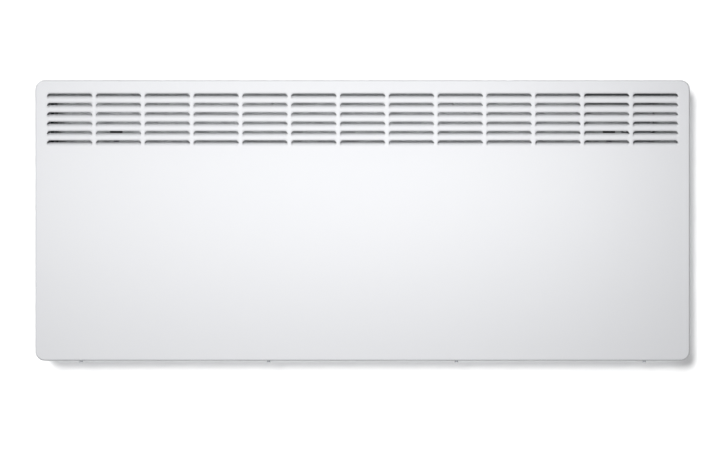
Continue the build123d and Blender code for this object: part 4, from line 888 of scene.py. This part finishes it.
class HEATER_OT_stage(bpy.types.Operator):
    """Set up the camera, the lamps, the wall and the floor"""

    bl_idname = "heater.stage"
    bl_label = "Stage"

    def execute(self, context):
        scene = context.scene
        stage = scene.heater_stage
        data = bpy.data.cameras.new("camera")
        camera = bpy.data.objects.new("camera", data)
        scene.collection.objects.link(camera)
        scene.camera = camera
        middle = (COVER_LOW + COVER_HIGH) / 2 * MM
        right = (PHOTO_WIDTH / 2 - PANEL_CENTRE_PX[0]) * stage.scale
        down = (PANEL_CENTRE_PX[1] - PHOTO_HEIGHT / 2) * stage.scale
        camera.location = (middle[0] + right, COVER_LOW[1] * MM - stage.distance, middle[2] + down)
        camera.rotation_euler = (math.pi / 2, 0.0, 0.0)
        data.sensor_width = 36.0
        data.lens = data.sensor_width * stage.distance / (PHOTO_WIDTH * stage.scale)
        data.clip_end = 60.0

        # How far the wall and the floor reach, in metres.
        wide, deep, high, low = 4.0, 5.0, 3.0, -stage.floor_drop
        corners = [(-wide, BEHIND, low), (wide, BEHIND, low), (wide, BEHIND, high), (-wide, BEHIND, high)]
        wall = stage_sheet("wall", corners, stage.wall, 0.0)
        # The eye alone sees the wall: it throws no light or shadow on the heater and shows in no gloss.
        for kind in ("diffuse", "glossy", "transmission", "shadow"):
            setattr(wall, "visible_" + kind, False)
        corners = [(-wide, -deep, low), (wide, -deep, low), (wide, deep, low), (-wide, deep, low)]
        stage_sheet("floor", corners, stage.floor, stage.glow)

        world = bpy.data.worlds.new("surroundings")
        scene.world = world
        world.use_nodes = True
        tree = world.node_tree
        tree.nodes.clear()
        levels = {"Value": seen_directly(tree), "To Min": stage.ambient, "To Max": 1.0}
        level = add(tree, "ShaderNodeMapRange", levels)
        sky = add(tree, "ShaderNodeBackground", {"Color": (1.0, 1.0, 1.0), "Strength": level.outputs[0]})
        add(tree, "ShaderNodeOutputWorld", {"Surface": sky.outputs[0]})

        # The key comes almost along the view. The soft box hangs close in front of the middle, so its light
        # fades to the sides and downwards.
        lamp("key", "SUN", WHITE_SUN * stage.key, (-0.93, -5.0, 0.78), angle=math.radians(9))
        box = {"aim": (-0.166, -0.1, 0.22), "shape": "RECTANGLE", "size": 1.14, "size_y": 0.3}
        lamp("soft_box", "AREA", WHITE_BOX * stage.lamp, (-0.08, -0.762, 0.08), **box)
        # The edge light leaves the wall out, because it would wash away the shadow at the bottom left.
        edge = lamp("edge_light", "SUN", WHITE_SUN * stage.rim, (-1.0, -0.32, 0.9), angle=math.radians(12))
        unlit = bpy.data.collections.new("without_edge_light")
        unlit.objects.link(wall)
        unlit.collection_objects[0].light_linking.link_state = "EXCLUDE"
        edge.light_linking.receiver_collection = unlit
        lamp("back_light", "SUN", WHITE_SUN * stage.back, (1.0, 3.0, 0.8), angle=math.radians(20))

        scene.view_settings.view_transform = "Standard"
        return {"FINISHED"}


# ---------------------------------------------------------------- sidebar
OPERATORS = (
    HEATER_OT_stage,
    HEATER_OT_cover,
    HEATER_OT_sheets,
    HEATER_OT_elements,
    HEATER_OT_controls,
    HEATER_OT_power,
    HEATER_OT_bracket,
)
SETTINGS = {
    "heater_cover": CoverSettings,
    "heater_keys": KeySettings,
    "heater_finish": FinishSettings,
    "heater_stage": StageSettings,
}


class HEATER_PT_sidebar(bpy.types.Panel):
    """Lists the heater's pieces and sizes"""

    bl_label = "Convector"
    bl_idname = "HEATER_PT_sidebar"
    bl_space_type = "VIEW_3D"
    bl_region_type = "UI"
    bl_category = "Convector"

    def draw(self, context):
        for operator in OPERATORS:
            self.layout.operator(operator.bl_idname)
        for name, group in SETTINGS.items():
            box = self.layout.box()
            for key in group.__annotations__:
                box.prop(getattr(context.scene, name), key)


def register():
    for group in (*SETTINGS.values(), *OPERATORS, HEATER_PT_sidebar):
        bpy.utils.register_class(group)
    for name, group in SETTINGS.items():
        setattr(bpy.types.Scene, name, bpy.props.PointerProperty(type=group))


def unregister():
    for name in SETTINGS:
        delattr(bpy.types.Scene, name)
    for group in reversed((*SETTINGS.values(), *OPERATORS, HEATER_PT_sidebar)):
        bpy.utils.unregister_class(group)


def main():
    """Builds all the pieces in order."""
    register()
    for operator in OPERATORS:
        group, name = operator.bl_idname.split(".")
        getattr(getattr(bpy.ops, group), name)()


if __name__ == "__main__":
    main()
